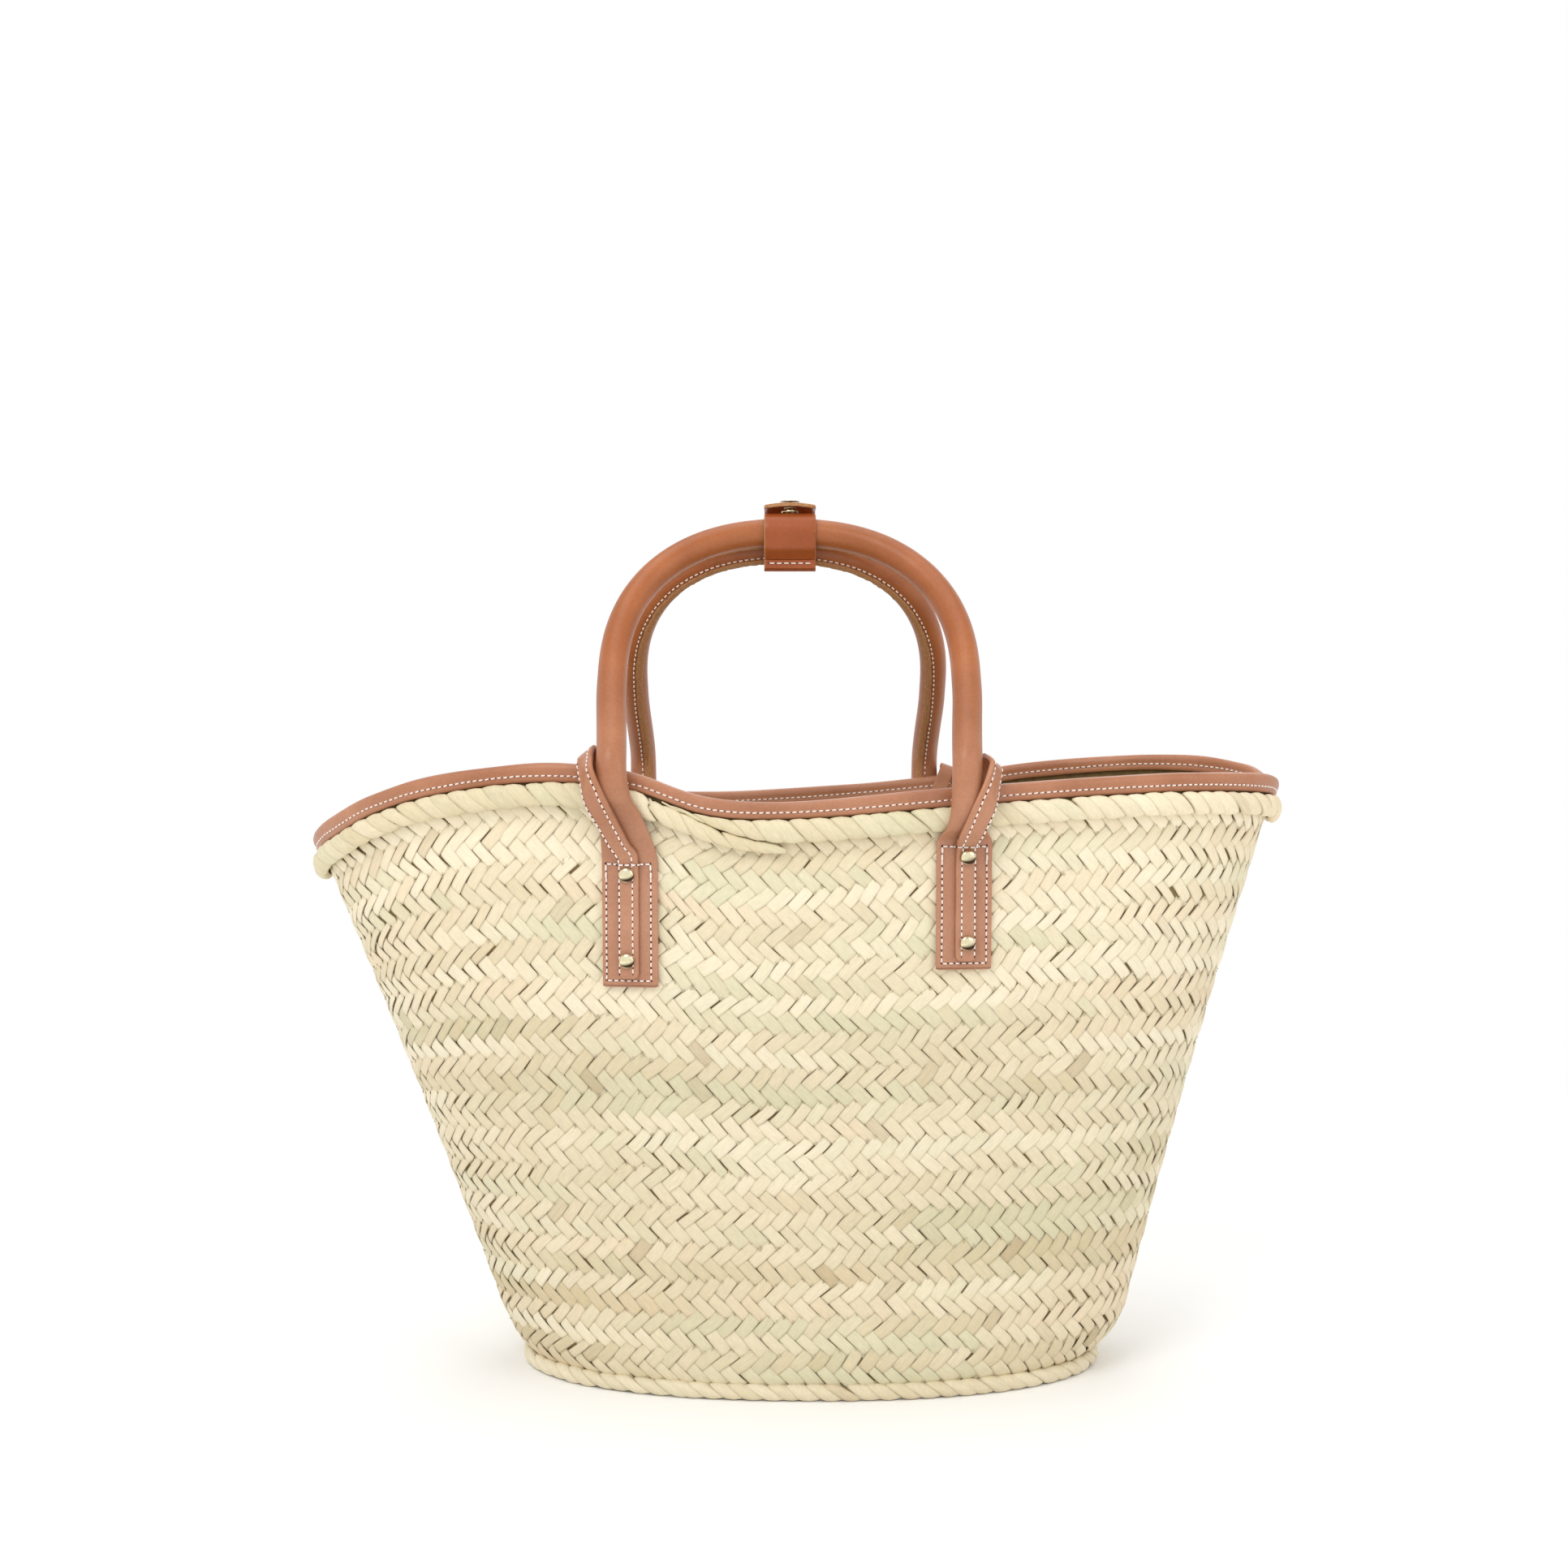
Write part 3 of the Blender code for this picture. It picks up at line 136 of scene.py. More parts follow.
# Keeper paths, as (y, z) steps: from the seam, from the tubes' tops, and from the snap.
PANEL_FOOT, PANEL_BEND = ((-0.0016, -0.0035), (-0.0020, 0.0015)), (0.0016, -0.0002)
PANEL_ARC, WRAP_ARC = (195, 92), (262, 360)
WRAP_FOOT = ((-0.0009, -0.0045), (-0.0006, -0.0005), (0.0035, 0.0))
WRAP_TOP_GAP = 0.0008
TIP_FOOT = ((0.0, 0.0004), (-0.0006, 0.0040))
TIP_TURN = ((-0.0040, -0.0014), (-0.0085, 0.0))
TIP_END = ((0.0, 0.0002), (-0.0062, -0.0004))
SNAP_FORWARD, STUD_SEAT, CAP_SEAT = 0.0010, 0.0004, 0.0005

# ---------------------------------------------------------------- dimensions of the looks

# The plait: leaf spacing, bands up the wall, and where the bands start and stop.
CELL, BANDS = 0.0083, 15.5
WEAVE_FOOT, WEAVE_UNDER_ROPE, WEAVE_LEVEL = 0.0062, 0.0160, 0.2660
# One leaf's points along it and across it, the same with fewer points, and its turned-down edges.
LEAF_A = np.array([-1.26, -1.05, -0.86, -0.45, 0.0, 0.45, 0.86, 1.05, 1.26])
LEAF_B = np.array([-1.03, -1.0, -0.62, 0.0, 0.62, 1.0, 1.03])
FEWER_A, FEWER_B = [0, 1, 3, 4, 5, 7, 8], [0, 1, 3, 5, 6]
EDGE_DROP = np.array([0.00042, 0, 0, 0, 0, 0, 0.00042])
# A leaf's crest above the wall, how far its ends dive, and how much it is domed across.
LEAF_CREST, LEAF_DIVE, LEAF_DOME = 0.00112, 0.00120, 0.00022
LEAF_WIDTH, LEAF_LEAST, LEAF_MOST = 0.985, 0.86, 1.05
NARROW_CHANCE, NARROW_WIDTH, LOOSE_WIDTH = 0.045, 0.84, 0.26
# How much leaves differ: in width, turn, place along and across the band, height and tilt.
WIDTH_SPREAD, TURN_SPREAD, ALONG_SPREAD, ACROSS_SPREAD = 0.045, 0.045, 0.022, 0.010
HEIGHT_SPREAD, TILT_SPREAD = 0.00007, 0.00011
PLAIT_SINK, SEAM_SINK = -0.0012, 0.00040
# The two rows of leaves in a band: which way they lean, their shift and their height in it.
LEAF_ROWS = ((-1, 0.0, 0.25), (1, 0.5, 0.75))
BASE_RINGS = 4.5
# Rope strips: distance between wraps and how steeply they slant, how far round they reach in
# degrees, how high they stand at the middle and lean over the next, and how far edges drop.
RIM_WRAP, FOOT_WRAP = (0.0092, 0.85), (0.0090, 1.2)
STRIP_REACH, STRIP_CROWN, STRIP_LEAN, STRIP_EDGE = 138, 0.00090, 0.00030, 0.0006
STRIP_ACROSS = np.array([-1.06, -1.0, -0.6, 0.0, 0.6, 1.0, 1.06])
# Stitches: length, gap, thread radius on soft leather, and how far they sink.
STITCH, STITCH_GAP, THREAD_RADIUS, FINE_THREAD = 0.0030, 0.0008, 0.00038, 0.00034
STITCH_SINK = 0.00005
# Needle holes: half length and half width, and how far before the stitch they lie.
HOLE_LONG, HOLE_WIDE, HOLE_AHEAD = 0.00080, 0.00044, 0.00030
BINDING_STITCH_DROP = 0.0052
# The tube's lapped seam and its stitches, in degrees round the tube, and the seam's profile.
SEAM_TURN, SEAM_STITCH_TURN = -64.0, -26.0
SEAM_PROFILE = np.array([-17.0, -15.5, -12.0, 0.0, 12.0, 15.5, 17.0])
SEAM_RISE = np.array([-0.0004, 0.0004, 0.00072, 0.00078, 0.00072, 0.0004, -0.0004])
# Rows of a handle, counted from each end, that its flat tab and its leg take up.
TAB_ROWS, LEG_ROWS = 46, 68
# Tab stitches: drops of the lowest and the topmost row, and their inset from the sides.
TAB_STITCH_FOOT, TAB_STITCH_TOP, TAB_STITCH_INSET, TAB_STITCH_SHIFT = 0.0030, 0.0015, 0.0026, 0.0003
# The handle's leather bends between these distances below and above its hinge, and the keeper's
# wrap between these distances behind its seam.
BEND_BELOW, BEND_ABOVE = 0.010, 0.014
WRAP_BEND = (-0.0005, 0.0065)
# The stage. Lights are name, place, aim, size and watts; the room's light falls from one strength
# to another between two heights of the sky; the camera dips by some degrees.
FLOOR_RADIUS, FLOOR_LEVEL = 0.95, -0.0002
LIGHTS = (
    ("key", (-0.9, -1.7, 2.1), (0, 0, 0.22), 1.4, 22.0),
    ("fill", (1.6, -1.4, 1.3), (0, 0, 0.22), 1.6, 6.0),
    ("top", (0.0, 0.2, 2.4), (0, 0, 0.2), 1.8, 13.0),
    ("back", (0.4, 2.0, 1.6), (0, 0, 0.25), 1.6, 6.0),
)
ROOM_FALL = (0.42, 0.70, 1.0, 0.62)
CAMERA_PLACE, CAMERA_LENS, CAMERA_DIP = (-0.0065, -1.0, 0.312), 46.34, 1.589


# ---------------------------------------------------------------- small maths


def mix(a, b, t):
    return a + (b - a) * t


def smooth_step(t):
    t = np.clip(t, 0.0, 1.0)
    return t * t * (3.0 - 2.0 * t)


def unit(v):
    v = np.asarray(v, float)
    return v / np.maximum(np.linalg.norm(v, axis=-1, keepdims=True), 1e-12)


def signed_power(value, power):
    return np.sign(value) * np.abs(value) ** power


def hermite(p1, m1, p2, m2, f):
    """Between p1 and p2 with slopes m1 and m2, at share f."""
    f2, f3 = f * f, f * f * f
    start = p1 * (2 * f3 - 3 * f2 + 1) + m1 * (f3 - 2 * f2 + f)
    return start + p2 * (3 * f2 - 2 * f3) + m2 * (f3 - f2)


def through(stations, t):
    """A smooth value at t (0 to 1) through stations, each a tuple of numbers."""
    stations = np.asarray(stations, float)
    last = len(stations) - 1
    at = np.clip(np.asarray(t, float) * last, 0.0, last - 1e-9)
    i = at.astype(int)
    f = (at - i)[..., None]
    p0, p1 = stations[np.maximum(i - 1, 0)], stations[i]
    p2, p3 = stations[i + 1], stations[np.minimum(i + 2, last)]
    m1 = np.where((p2 - p1) * (p1 - p0) <= 0, 0.0, (p2 - p0) / 2)
    m2 = np.where((p3 - p2) * (p2 - p1) <= 0, 0.0, (p3 - p1) / 2)
    return hermite(p1, m1, p2, m2, f)


def along_path(points):
    """Running length along a path of points."""
    steps = np.linalg.norm(np.diff(points, axis=0), axis=1)
    return np.concatenate([[0.0], np.cumsum(steps)])


def at_length(points, lengths, s):
    """Rows of `points` read at running lengths s."""
    flat = points.reshape(len(points), -1)
    columns = [np.interp(s, lengths, flat[:, i]) for i in range(flat.shape[1])]
    return np.stack(columns, -1)


# ---------------------------------------------------------------- the body's shape


def half_sizes(z):
    z = np.asarray(z, float)
    waist = WAIST * np.sin(PI * np.minimum(z, WAIST_HEIGHT) / WAIST_HEIGHT)
    tuck = np.clip(1.0 - z / TUCK_HEIGHT, 0.0, None) ** 2
    left = LEFT_AT_BASE + LEFT_FLARE * z - waist - TUCK_LEFT * tuck
    right = RIGHT_AT_BASE + RIGHT_FLARE * z - waist - TUCK_RIGHT * tuck
    centre = HANDLE_CENTRE_X + (right - left) / 2
    return centre, (right + left) / 2, DEPTH_AT_BASE + DEPTH_FLARE * z - TUCK_DEPTH * tuck


def plan_power(z):
    return mix(FOOT_POWER, PLAN_POWER, smooth_step(np.asarray(z, float) / POWER_HEIGHT))


def plan_point(angle, z):
    centre, half, depth = half_sizes(z)
    power = 2.0 / plan_power(z)
    x = centre + half * signed_power(np.cos(angle), power)
    y = depth * signed_power(np.sin(angle), power)
    return np.stack(np.broadcast_arrays(x, y, z), -1)


def wall_normal(angle, z):
    step = 1e-3
    z = np.asarray(z, float)
    along = plan_point(angle + step, z) - plan_point(angle - step, z)
    up = plan_point(angle, z + step) - plan_point(angle, z - step)
    return unit(np.cross(along, up))


def wall_point(angle, z, offset=0.0):
    offset = np.asarray(offset, float)
    return plan_point(angle, z) + wall_normal(angle, z) * offset[..., None]


def foot_point(angle, z, offset):
    """A point at height z off the wall's foot outline, moved level outward by offset."""
    out = wall_normal(angle, WALL_FOOT) * np.array([1.0, 1.0, 0.0])
    place = plan_point(angle, WALL_FOOT) + unit(out) * offset
    place[..., 2] = z
    return place


def angle_at(x, z, side):
    centre, half, _ = half_sizes(z)
    u = np.clip((x - centre) / half, -1.0, 1.0)
    c = signed_power(u, plan_power(z) / 2.0)
    return np.arctan2(side * np.sqrt(1.0 - c * c), c)


def face_point(x, z, side, offset=0.0):
    return wall_point(angle_at(x, z, side), z, offset)


def rim_table():
    """The rim's height at every quarter of a degree, smooth through its stations."""
    turns = np.array([a for a, _ in RIM_HEIGHTS], float)
    heights = np.array([h for _, h in RIM_HEIGHTS], float)
    turns = np.concatenate([turns - 360, turns, turns + 360])
    heights = np.tile(heights, 3)
    slopes = np.zeros(len(turns))
    slopes[1:-1] = (heights[2:] - heights[:-2]) / (turns[2:] - turns[:-2])
    at = np.linspace(0, 360, 1441)
    i = np.searchsorted(turns, at, side="right") - 1
    span = turns[i + 1] - turns[i]
    f = (at - turns[i]) / span
    rise = (heights[i], slopes[i] * span, heights[i + 1], slopes[i + 1] * span)
    return at, hermite(*rise, f)


RIM_AT, RIM_VALUE = rim_table()


def rim_height(angle):
    return np.interp(np.degrees(angle) % 360.0, RIM_AT, RIM_VALUE)


# ---------------------------------------------------------------- mesh helpers


def grid_quads(rows, columns, ring_rows=False, ring_columns=False):
    i, j = np.meshgrid(
        np.arange(rows if ring_rows else rows - 1),
        np.arange(columns if ring_columns else columns - 1),
        indexing="ij",
    )
    i2, j2 = (i + 1) % rows, (j + 1) % columns
    quads = [i * columns + j, i * columns + j2, i2 * columns + j2, i2 * columns + j]
    return np.stack(quads, -1).reshape(-1, 4)


def mesh_object(name, points, quads, materials, uv=None, tone=None, which=None):
    """A smooth mesh of quads, with per-point UVs and colours where they are given."""
    points = np.asarray(points, np.float32).reshape(-1, 3)
    quads = np.asarray(quads, np.int32).reshape(-1, 4)
    mesh = bpy.data.meshes.new(name)
    mesh.vertices.add(len(points))
    mesh.vertices.foreach_set("co", points.ravel())
    mesh.loops.add(quads.size)
    mesh.loops.foreach_set("vertex_index", quads.ravel())
    mesh.polygons.add(len(quads))
    mesh.polygons.foreach_set("loop_start", np.arange(0, quads.size, 4, dtype=np.int32))
    if uv is not None:
        layer = mesh.uv_layers.new(name="leaf_uv")
        corners = np.asarray(uv, np.float32).reshape(-1, 2)[quads.ravel()]
        layer.data.foreach_set("uv", corners.ravel())
    if tone is not None:
        colour = mesh.attributes.new("leaf", "FLOAT_COLOR", "POINT")
        colour.data.foreach_set("color", np.asarray(tone, np.float32).ravel())
    for material in materials:
        mesh.materials.append(material)
    if which is not None:
        mesh.polygons.foreach_set("material_index", np.asarray(which, np.int32))
    mesh.update(calc_edges=True)
    mesh.validate()
    mesh.shade_smooth()
    obj = bpy.data.objects.new(name, mesh)
    bpy.context.scene.collection.objects.link(obj)
    return obj


def repeat_quads(one, count, points_each):
    return (one[None] + np.arange(count)[:, None, None] * points_each).reshape(-1, 4)


def place_on(obj, body, slot, *nodes):
    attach(obj, body)
    if nodes:
        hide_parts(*nodes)


def bend_between(obj, bodies, bend, *nodes):
    """Hides the CAD nodes that the leather replaces and bakes the leather's place into its mesh."""
    if nodes:
        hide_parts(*nodes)
    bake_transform(obj)


# ---------------------------------------------------------------- materials


class Nodes:
    """Short calls for building one material's node tree."""

    def __init__(self, name):
        self.material = bpy.data.materials.new(name)
        self.material.use_nodes = True
        self.tree = self.material.node_tree
        self.shader = self.tree.nodes["Principled BSDF"]

    def feed(self, socket, value):
        """Links another node's output to a socket, or sets its value."""
        if isinstance(value, bpy.types.NodeSocket):
            self.tree.links.new(value, socket)
        else:
            socket.default_value = value

    def fill(self, node, **inputs):
        for key, value in inputs.items():
            self.feed(node.inputs[key.replace("_", " ")], value)
        return node

    def set(self, **values):
        self.fill(self.shader, **values)

    def add(self, kind, **inputs):
        return self.fill(self.tree.nodes.new(kind), **inputs)

    def math(self, operation, a, b=0.0):
        node = self.add("ShaderNodeMath")
        node.operation = operation
        self.feed(node.inputs[0], a)
        self.feed(node.inputs[1], b)
        return node.outputs[0]

    def blend(self, factor, a, b):
        node = self.add("ShaderNodeMix")
        node.data_type = "RGBA"
        for slot, value in ((0, factor), (6, a), (7, b)):
            self.feed(node.inputs[slot], value)
        return node.outputs[2]

    def scaled(self, tint, factor):
        node = self.add("ShaderNodeVectorMath")
        node.operation = "SCALE"
        self.feed(node.inputs[0], tint)
        self.feed(node.inputs["Scale"], factor)
        return node.outputs[0]

    def ramp(self, value, low, high, out_low=0.0, out_high=1.0):
        node = self.add("ShaderNodeMapRange")
        for socket, number in zip(node.inputs[:5], (value, low, high, out_low, out_high)):
            self.feed(socket, number)
        return node.outputs[0]

    def noise(self, vector, scale, detail=2.0, rough=0.5):
        node = self.add("ShaderNodeTexNoise", Scale=scale, Detail=detail, Roughness=rough)
        self.feed(node.inputs["Vector"], vector)
        return node.outputs["Fac"]

    def place(self):
        return self.add("ShaderNodeTexCoord").outputs["Object"]

    def parts(self, vector):
        return self.add("ShaderNodeSeparateXYZ", Vector=vector).outputs

    def stretched(self, vector, scale):
        return self.add("ShaderNodeMapping", Scale=scale, Vector=vector).outputs[0]

    def bump(self, height, strength, distance):
        node = self.add("ShaderNodeBump", Strength=strength, Distance=distance, Height=height)
        self.set(Normal=node.outputs[0])


def colour(r, g, b):
    """A display colour, 0 to 255, as the shader's linear one."""
    values = np.array([r, g, b]) / 255.0
    linear = np.where(values <= 0.04045, values / 12.92, ((values + 0.055) / 1.055) ** 2.4)
    return (*[float(v) for v in linear], 1.0)


def palm_material(name, shade=1.0):
    """Dried palm leaf: each strip has its own tone, with fine fibres along it, and painted light
    and shade.
    """
    n = Nodes(name)
    attribute = n.add("ShaderNodeAttribute")
    attribute.attribute_name = "leaf"
    tone, hue, chance = n.add("ShaderNodeSeparateColor", Color=attribute.outputs["Color"]).outputs
    # Painted shade: each leaf darkens by up to 18% toward its sides and ends, where it tucks under
    # its neighbours.
    edge = n.ramp(attribute.outputs["Alpha"], 0.78, 1.0, 1.0, 0.82)
    uv = n.add("ShaderNodeUVMap")
    uv.uv_map = "leaf_uv"
    fibres = n.noise(n.stretched(uv.outputs[0], (1.6, 26.0, 1.0)), 1.0, 3.0, 0.6)
    coarse = n.noise(n.stretched(uv.outputs[0], (0.8, 5.0, 1.0)), 1.0, 2.0)
    tint = n.blend(tone, colour(236, 224, 195), colour(207, 191, 153))
    # Greenish, pinkish and a few old brown leaves.
    for value, low, high, most, other in (
        (hue, 0.42, 0.05, 0.62, (206, 203, 168)),
        (hue, 0.60, 0.98, 0.52, (224, 202, 168)),
        (chance, 0.975, 1.0, 0.50, (172, 148, 108)),
    ):
        tint = n.blend(n.ramp(value, low, high, 0.0, most), tint, colour(*other))
    streak = n.ramp(fibres, 0.34, 0.66, 0.90, 1.04)
    patch = n.ramp(coarse, 0.3, 0.7, 0.95, 1.03)
    # Painted light: the leaves turn up to 10% brighter from 0.15 m to 0.27 m high, as the top of
    # the basket is lit more.
    painted_top_light = n.ramp(n.parts(n.place())[2], 0.15, 0.27, 1.0, 1.10)
    bright = shade
    for factor in (streak, patch, edge, painted_top_light):
        bright = n.math("MULTIPLY", bright, factor)
    n.set(Base_Color=n.scaled(tint, bright), Specular_IOR_Level=0.35)
    n.set(Roughness=n.ramp(fibres, 0.3, 0.7, 0.62, 0.46))
    n.bump(fibres, 0.35, 0.0004)
    return n.material


def speckled(
    name, noise, low, high, bump, spread=(0.0, 1.0), stretch=(1.0, 1.0, 1.0), **values
):
    """Two colours mixed by noise, which is (scale, detail, roughness) as far as it is given."""
    n = Nodes(name)
    speck = n.noise(n.stretched(n.place(), stretch), *noise)
    n.set(Base_Color=n.blend(n.ramp(speck, *spread), colour(*low), colour(*high)), **values)
    if bump:
        n.bump(speck, *bump)
    return n.material


def leather_material(name, low, high, low_sheen, high_sheen, rough=0.40, grain=0.30):
    """Smooth saddle leather with a fine grain and soft, mottled dyeing; lighter on the flat tabs
    and rim, which is a painted sheen.
    """
    n = Nodes(name)
    place = n.place()
    cloud = n.noise(place, 24.0, 3.0, 0.55)
    fine = n.noise(place, 700.0, 2.0)
    cells = n.add("ShaderNodeTexVoronoi", Scale=1500.0, Vector=place)
    # Painted sheen: toward the bottom the colours turn to the lighter sheen pair, wholly below 0.25
    # m and not at all above 0.35 m.
    painted_sheen_low = n.ramp(n.parts(place)[2], 0.35, 0.25)
    low = n.blend(painted_sheen_low, colour(*low), colour(*low_sheen))
    high = n.blend(painted_sheen_low, colour(*high), colour(*high_sheen))
    # The mottled dye, mixed from colours that already carry the painted sheen.
    dye_and_sheen = n.blend(n.ramp(cloud, 0.30, 0.70), low, high)
    n.set(Base_Color=n.scaled(dye_and_sheen, n.ramp(fine, 0.3, 0.7, 0.94, 1.05)))
    n.set(Roughness=n.ramp(cloud, 0.3, 0.7, rough + 0.05, rough - 0.05))
    n.set(Specular_IOR_Level=0.38, Coat_Weight=0.08, Coat_Roughness=0.25)
    height = n.math("ADD", n.math("MULTIPLY", cells.outputs["Distance"], 0.7), fine)
    n.bump(height, grain, 0.00018)
    return n.material


def metal_material():
    """Polished pale gold plate, with the dark band that a bright room leaves on a dome."""
    n = Nodes("pale_gold")
    haze = n.noise(n.place(), 320.0, 3.0)
    facing = n.parts(n.add("ShaderNodeTexCoord").outputs["Normal"])
    # Painted reflection: the plate darkens to brown in a band where its normal points a little
    # downward, widest on the +X side.
    low = n.math("ABSOLUTE", n.math("ADD", facing[2], 0.42))
    dark = n.math("ADD", low, n.math("MULTIPLY", facing[0], -0.22))
    plate = n.blend(haze, colour(226, 212, 168), colour(244, 236, 204))
    n.set(Base_Color=n.blend(n.ramp(dark, 0.12, 0.34), colour(66, 50, 34), plate), Metallic=1.0)
    n.set(Roughness=n.ramp(haze, 0.3, 0.7, 0.10, 0.17))
    return n.material


PALM = palm_material("palm_leaf")
# The inside's leaves are a copy painted 7% darker: painted shade inside the basket.
PALM_IN = palm_material("palm_leaf_inside", 0.93)
SHADOW = speckled(
    "leaf_shadow", (260.0, 3.0), (92, 74, 42), (150, 126, 80), (0.5, 0.0005), Roughness=0.85
)
# Each leather's third and fourth colours are the painted-sheen pair used low down; the keeper's
# repeat its first two.
TAN = leather_material(
    "saddle_leather", (152, 84, 41), (176, 103, 56), (168, 116, 87), (188, 137, 108)
)
EDGE = leather_material(
    "leather_edge", (140, 76, 42), (196, 132, 92), (146, 88, 58), (202, 148, 116), 0.5, 0.5
)
DEEP = leather_material(
    "keeper_leather", (146, 70, 27), (168, 86, 36), (146, 70, 27), (168, 86, 36)
)
RAW = speckled(
    "leather_raw_edge", (1400.0, 4.0, 0.7), (150, 98, 58), (202, 152, 104), (0.6, 0.0003),
    spread=(0.3, 0.7), Roughness=0.85,
)
THREAD = speckled(
    "thread", (2600.0, 1.0), (226, 208, 194), (255, 246, 238), (0.4, 0.0001),
    Roughness=0.55, Sheen_Weight=0.2,
)
# Needle holes are painted dark as the shade inside them.
HOLE = speckled("needle_hole", (1500.0,), (62, 28, 30), (90, 48, 46), None, Roughness=0.9)
GOLD = metal_material()
CORD = speckled(
    "filler_cord", (1.0,), (190, 175, 145), (224, 214, 190), (0.7, 0.0006),
    stretch=(400.0, 400.0, 90.0), Roughness=0.9,
)


# ---------------------------------------------------------------- the plait


def soft_random(count, reach):
    """Smooth random values round a ring."""
    raw = rng.standard_normal(count)
    kernel = np.exp(-0.5 * (np.arange(-3 * reach, 3 * reach + 1) / reach) ** 2)
    wrapped = np.concatenate([raw[-3 * reach :], raw, raw[: 3 * reach]])
    value = np.convolve(wrapped, kernel / np.sqrt((kernel**2).sum()), "valid")
    return value[:count]


def leaf_grid(u, v, lean, fine, loose=0.0):
    """U, V and height of every leaf's points. lean is 1 for a leaf rising to the right.

    Where the plait is `loose` (0 to 1) leaves are narrower, so that dark slits open.
    """
    a_at, b_at, drop = LEAF_A, LEAF_B, EDGE_DROP
    if not fine:
        a_at, b_at, drop = a_at[FEWER_A], b_at[FEWER_B], drop[FEWER_B]
    count = len(u)
    a = a_at[None, :, None] + np.zeros((count, 1, len(b_at)))
    b = b_at[None, None, :] + np.zeros((count, len(a_at), 1))
    jitter = rng.standard_normal((6, count, 1, 1))
    width = np.clip(LEAF_WIDTH + WIDTH_SPREAD * jitter[0], LEAF_LEAST, LEAF_MOST)
    width = np.where(rng.random((count, 1, 1)) < NARROW_CHANCE, width * NARROW_WIDTH, width)
    slack = np.broadcast_to(loose, (count,))[:, None, None]
    width = width * (1 - LOOSE_WIDTH * slack * rng.random((count, 1, 1)))
    across = b * width + TURN_SPREAD * jitter[1] * a
    # A leaf is two cells long and half a cell wide, on the diagonal.
    uu = u[:, None, None] + 0.5 * a + 0.25 * across + ALONG_SPREAD * jitter[2]
    vv = v + lean * (0.25 * a - 0.125 * across) + ACROSS_SPREAD * jitter[3]
    # Each end dives under its neighbour.
    reach = smooth_step((np.abs(a) - 0.66) / 0.64)
    height = LEAF_CREST - LEAF_DIVE * reach
    height = height - LEAF_DOME * b * b - drop[None, None, :]
    tilt = TILT_SPREAD * np.clip(jitter[5], -2, 2) * b
    height = height + HEIGHT_SPREAD * jitter[4] + tilt
    return a, b, uu, vv, height


def leaf_mesh(name, sets, materials, flip=False):
    """One mesh from several sets of leaves: (points, a, b, lean, tones)."""
    points, quads, uvs, tones = [], [], [], []
    first = 0
    for xyz, a, b, lean, tone in sets:
        count, rows, columns = a.shape
        one = grid_quads(rows, columns)
        if (lean < 0) != flip:
            one = one[:, ::-1]
        quads.append(repeat_quads(one, count, rows * columns) + first)
        points.append(xyz.reshape(-1, 3))
        first += count * rows * columns
        shift = tone[:, 2][:, None, None] * 40.0
        uvs.append(np.stack([a + shift, b * 0.5 + shift], -1).reshape(-1, 2))
        spread = np.repeat(tone, rows * columns, axis=0)
        # The colour's alpha: how near a point is to the leaf's sides and ends, where the palm
        # shader paints shade.
        edge = np.maximum((np.abs(b) - 0.62) / 0.38, (np.abs(a) - 0.80) / 0.35)
        tones.append(np.concatenate([spread, np.clip(edge, 0, 1).reshape(-1, 1)], 1))
    return mesh_object(
        name,
        np.concatenate(points),
        np.concatenate(quads),
        materials,
        np.concatenate(uvs),
        np.concatenate(tones),
    )


def wall_level(t, angle):
    """Height of the wall at band coordinate t: level low down, along the rim higher up."""
    top = rim_height(angle) - WEAVE_UNDER_ROPE
    s = np.clip(t / BANDS, -0.1, 1.1)
    level = WEAVE_FOOT + s * (WEAVE_LEVEL - WEAVE_FOOT)
    return level + np.sign(s) * s * s * (top - WEAVE_LEVEL)


def cell_table(ring, cell, counts=None):
    """Plan angle against cell number for a ring, matched at its front and rear middles."""
    trial = np.linspace(0.4 * PI, 0.6 * PI, 721)
    rear = trial[np.argmin(np.abs(ring(trial)[:, 0] - HANDLE_CENTRE_X))]
    angles = rear + np.linspace(0, 2 * PI, 2881)
    path = ring(angles) * np.array([1.0, 1.0, 0.0])
    length = along_path(path)
    front = 1080 + np.argmin(np.abs(path[1080:1800, 0] - HANDLE_CENTRE_X))
    left, right = length[front], length[-1] - length[front]
    n_left, n_right = counts or (max(2, round(left / cell)), max(2, round(right / cell)))

    def count(share, long, whole):
        # The true pitch on the faces; the odd part of a cell is lost at the end walls.
        return share * long / cell + (whole - long / cell) * smooth_step((share - 0.42) / 0.16)

    cells = np.where(
        np.arange(len(angles)) <= front,
        -count((left - length) / left, left, n_left),
        count((length - left) / right, right, n_right),
    )
    total = n_left + n_right
    cells = np.concatenate([cells[:-1] - total, cells, cells[1:] + total])
    turns = np.concatenate([angles[:-1] - 2 * PI, angles, angles[1:] + 2 * PI])
    return cells, turns, -n_left, total, (n_left, n_right)


def band_tones(count, dark=0.0, level=0.0):
    """Tone, hue and chance of each leaf: runs of neighbours and whole patches match."""
    turn = np.linspace(0, 2 * PI, count, endpoint=False)
    patch = np.sin(2 * turn + 2.1 * level + 0.6) * np.cos(3 * turn - 1.3 * level)
    cool = np.sin(3 * turn - 1.7 * level + 1.9)
    tone = 0.42 + 0.20 * soft_random(count, 4) + 0.08 * rng.standard_normal(count) + 0.14 * patch
    hue = 0.50 + 0.20 * soft_random(count, 4) + 0.09 * rng.standard_normal(count) + 0.12 * cool
    return np.stack([np.clip(tone + dark, 0, 1), np.clip(hue, 0, 1), rng.random(count)], 1)


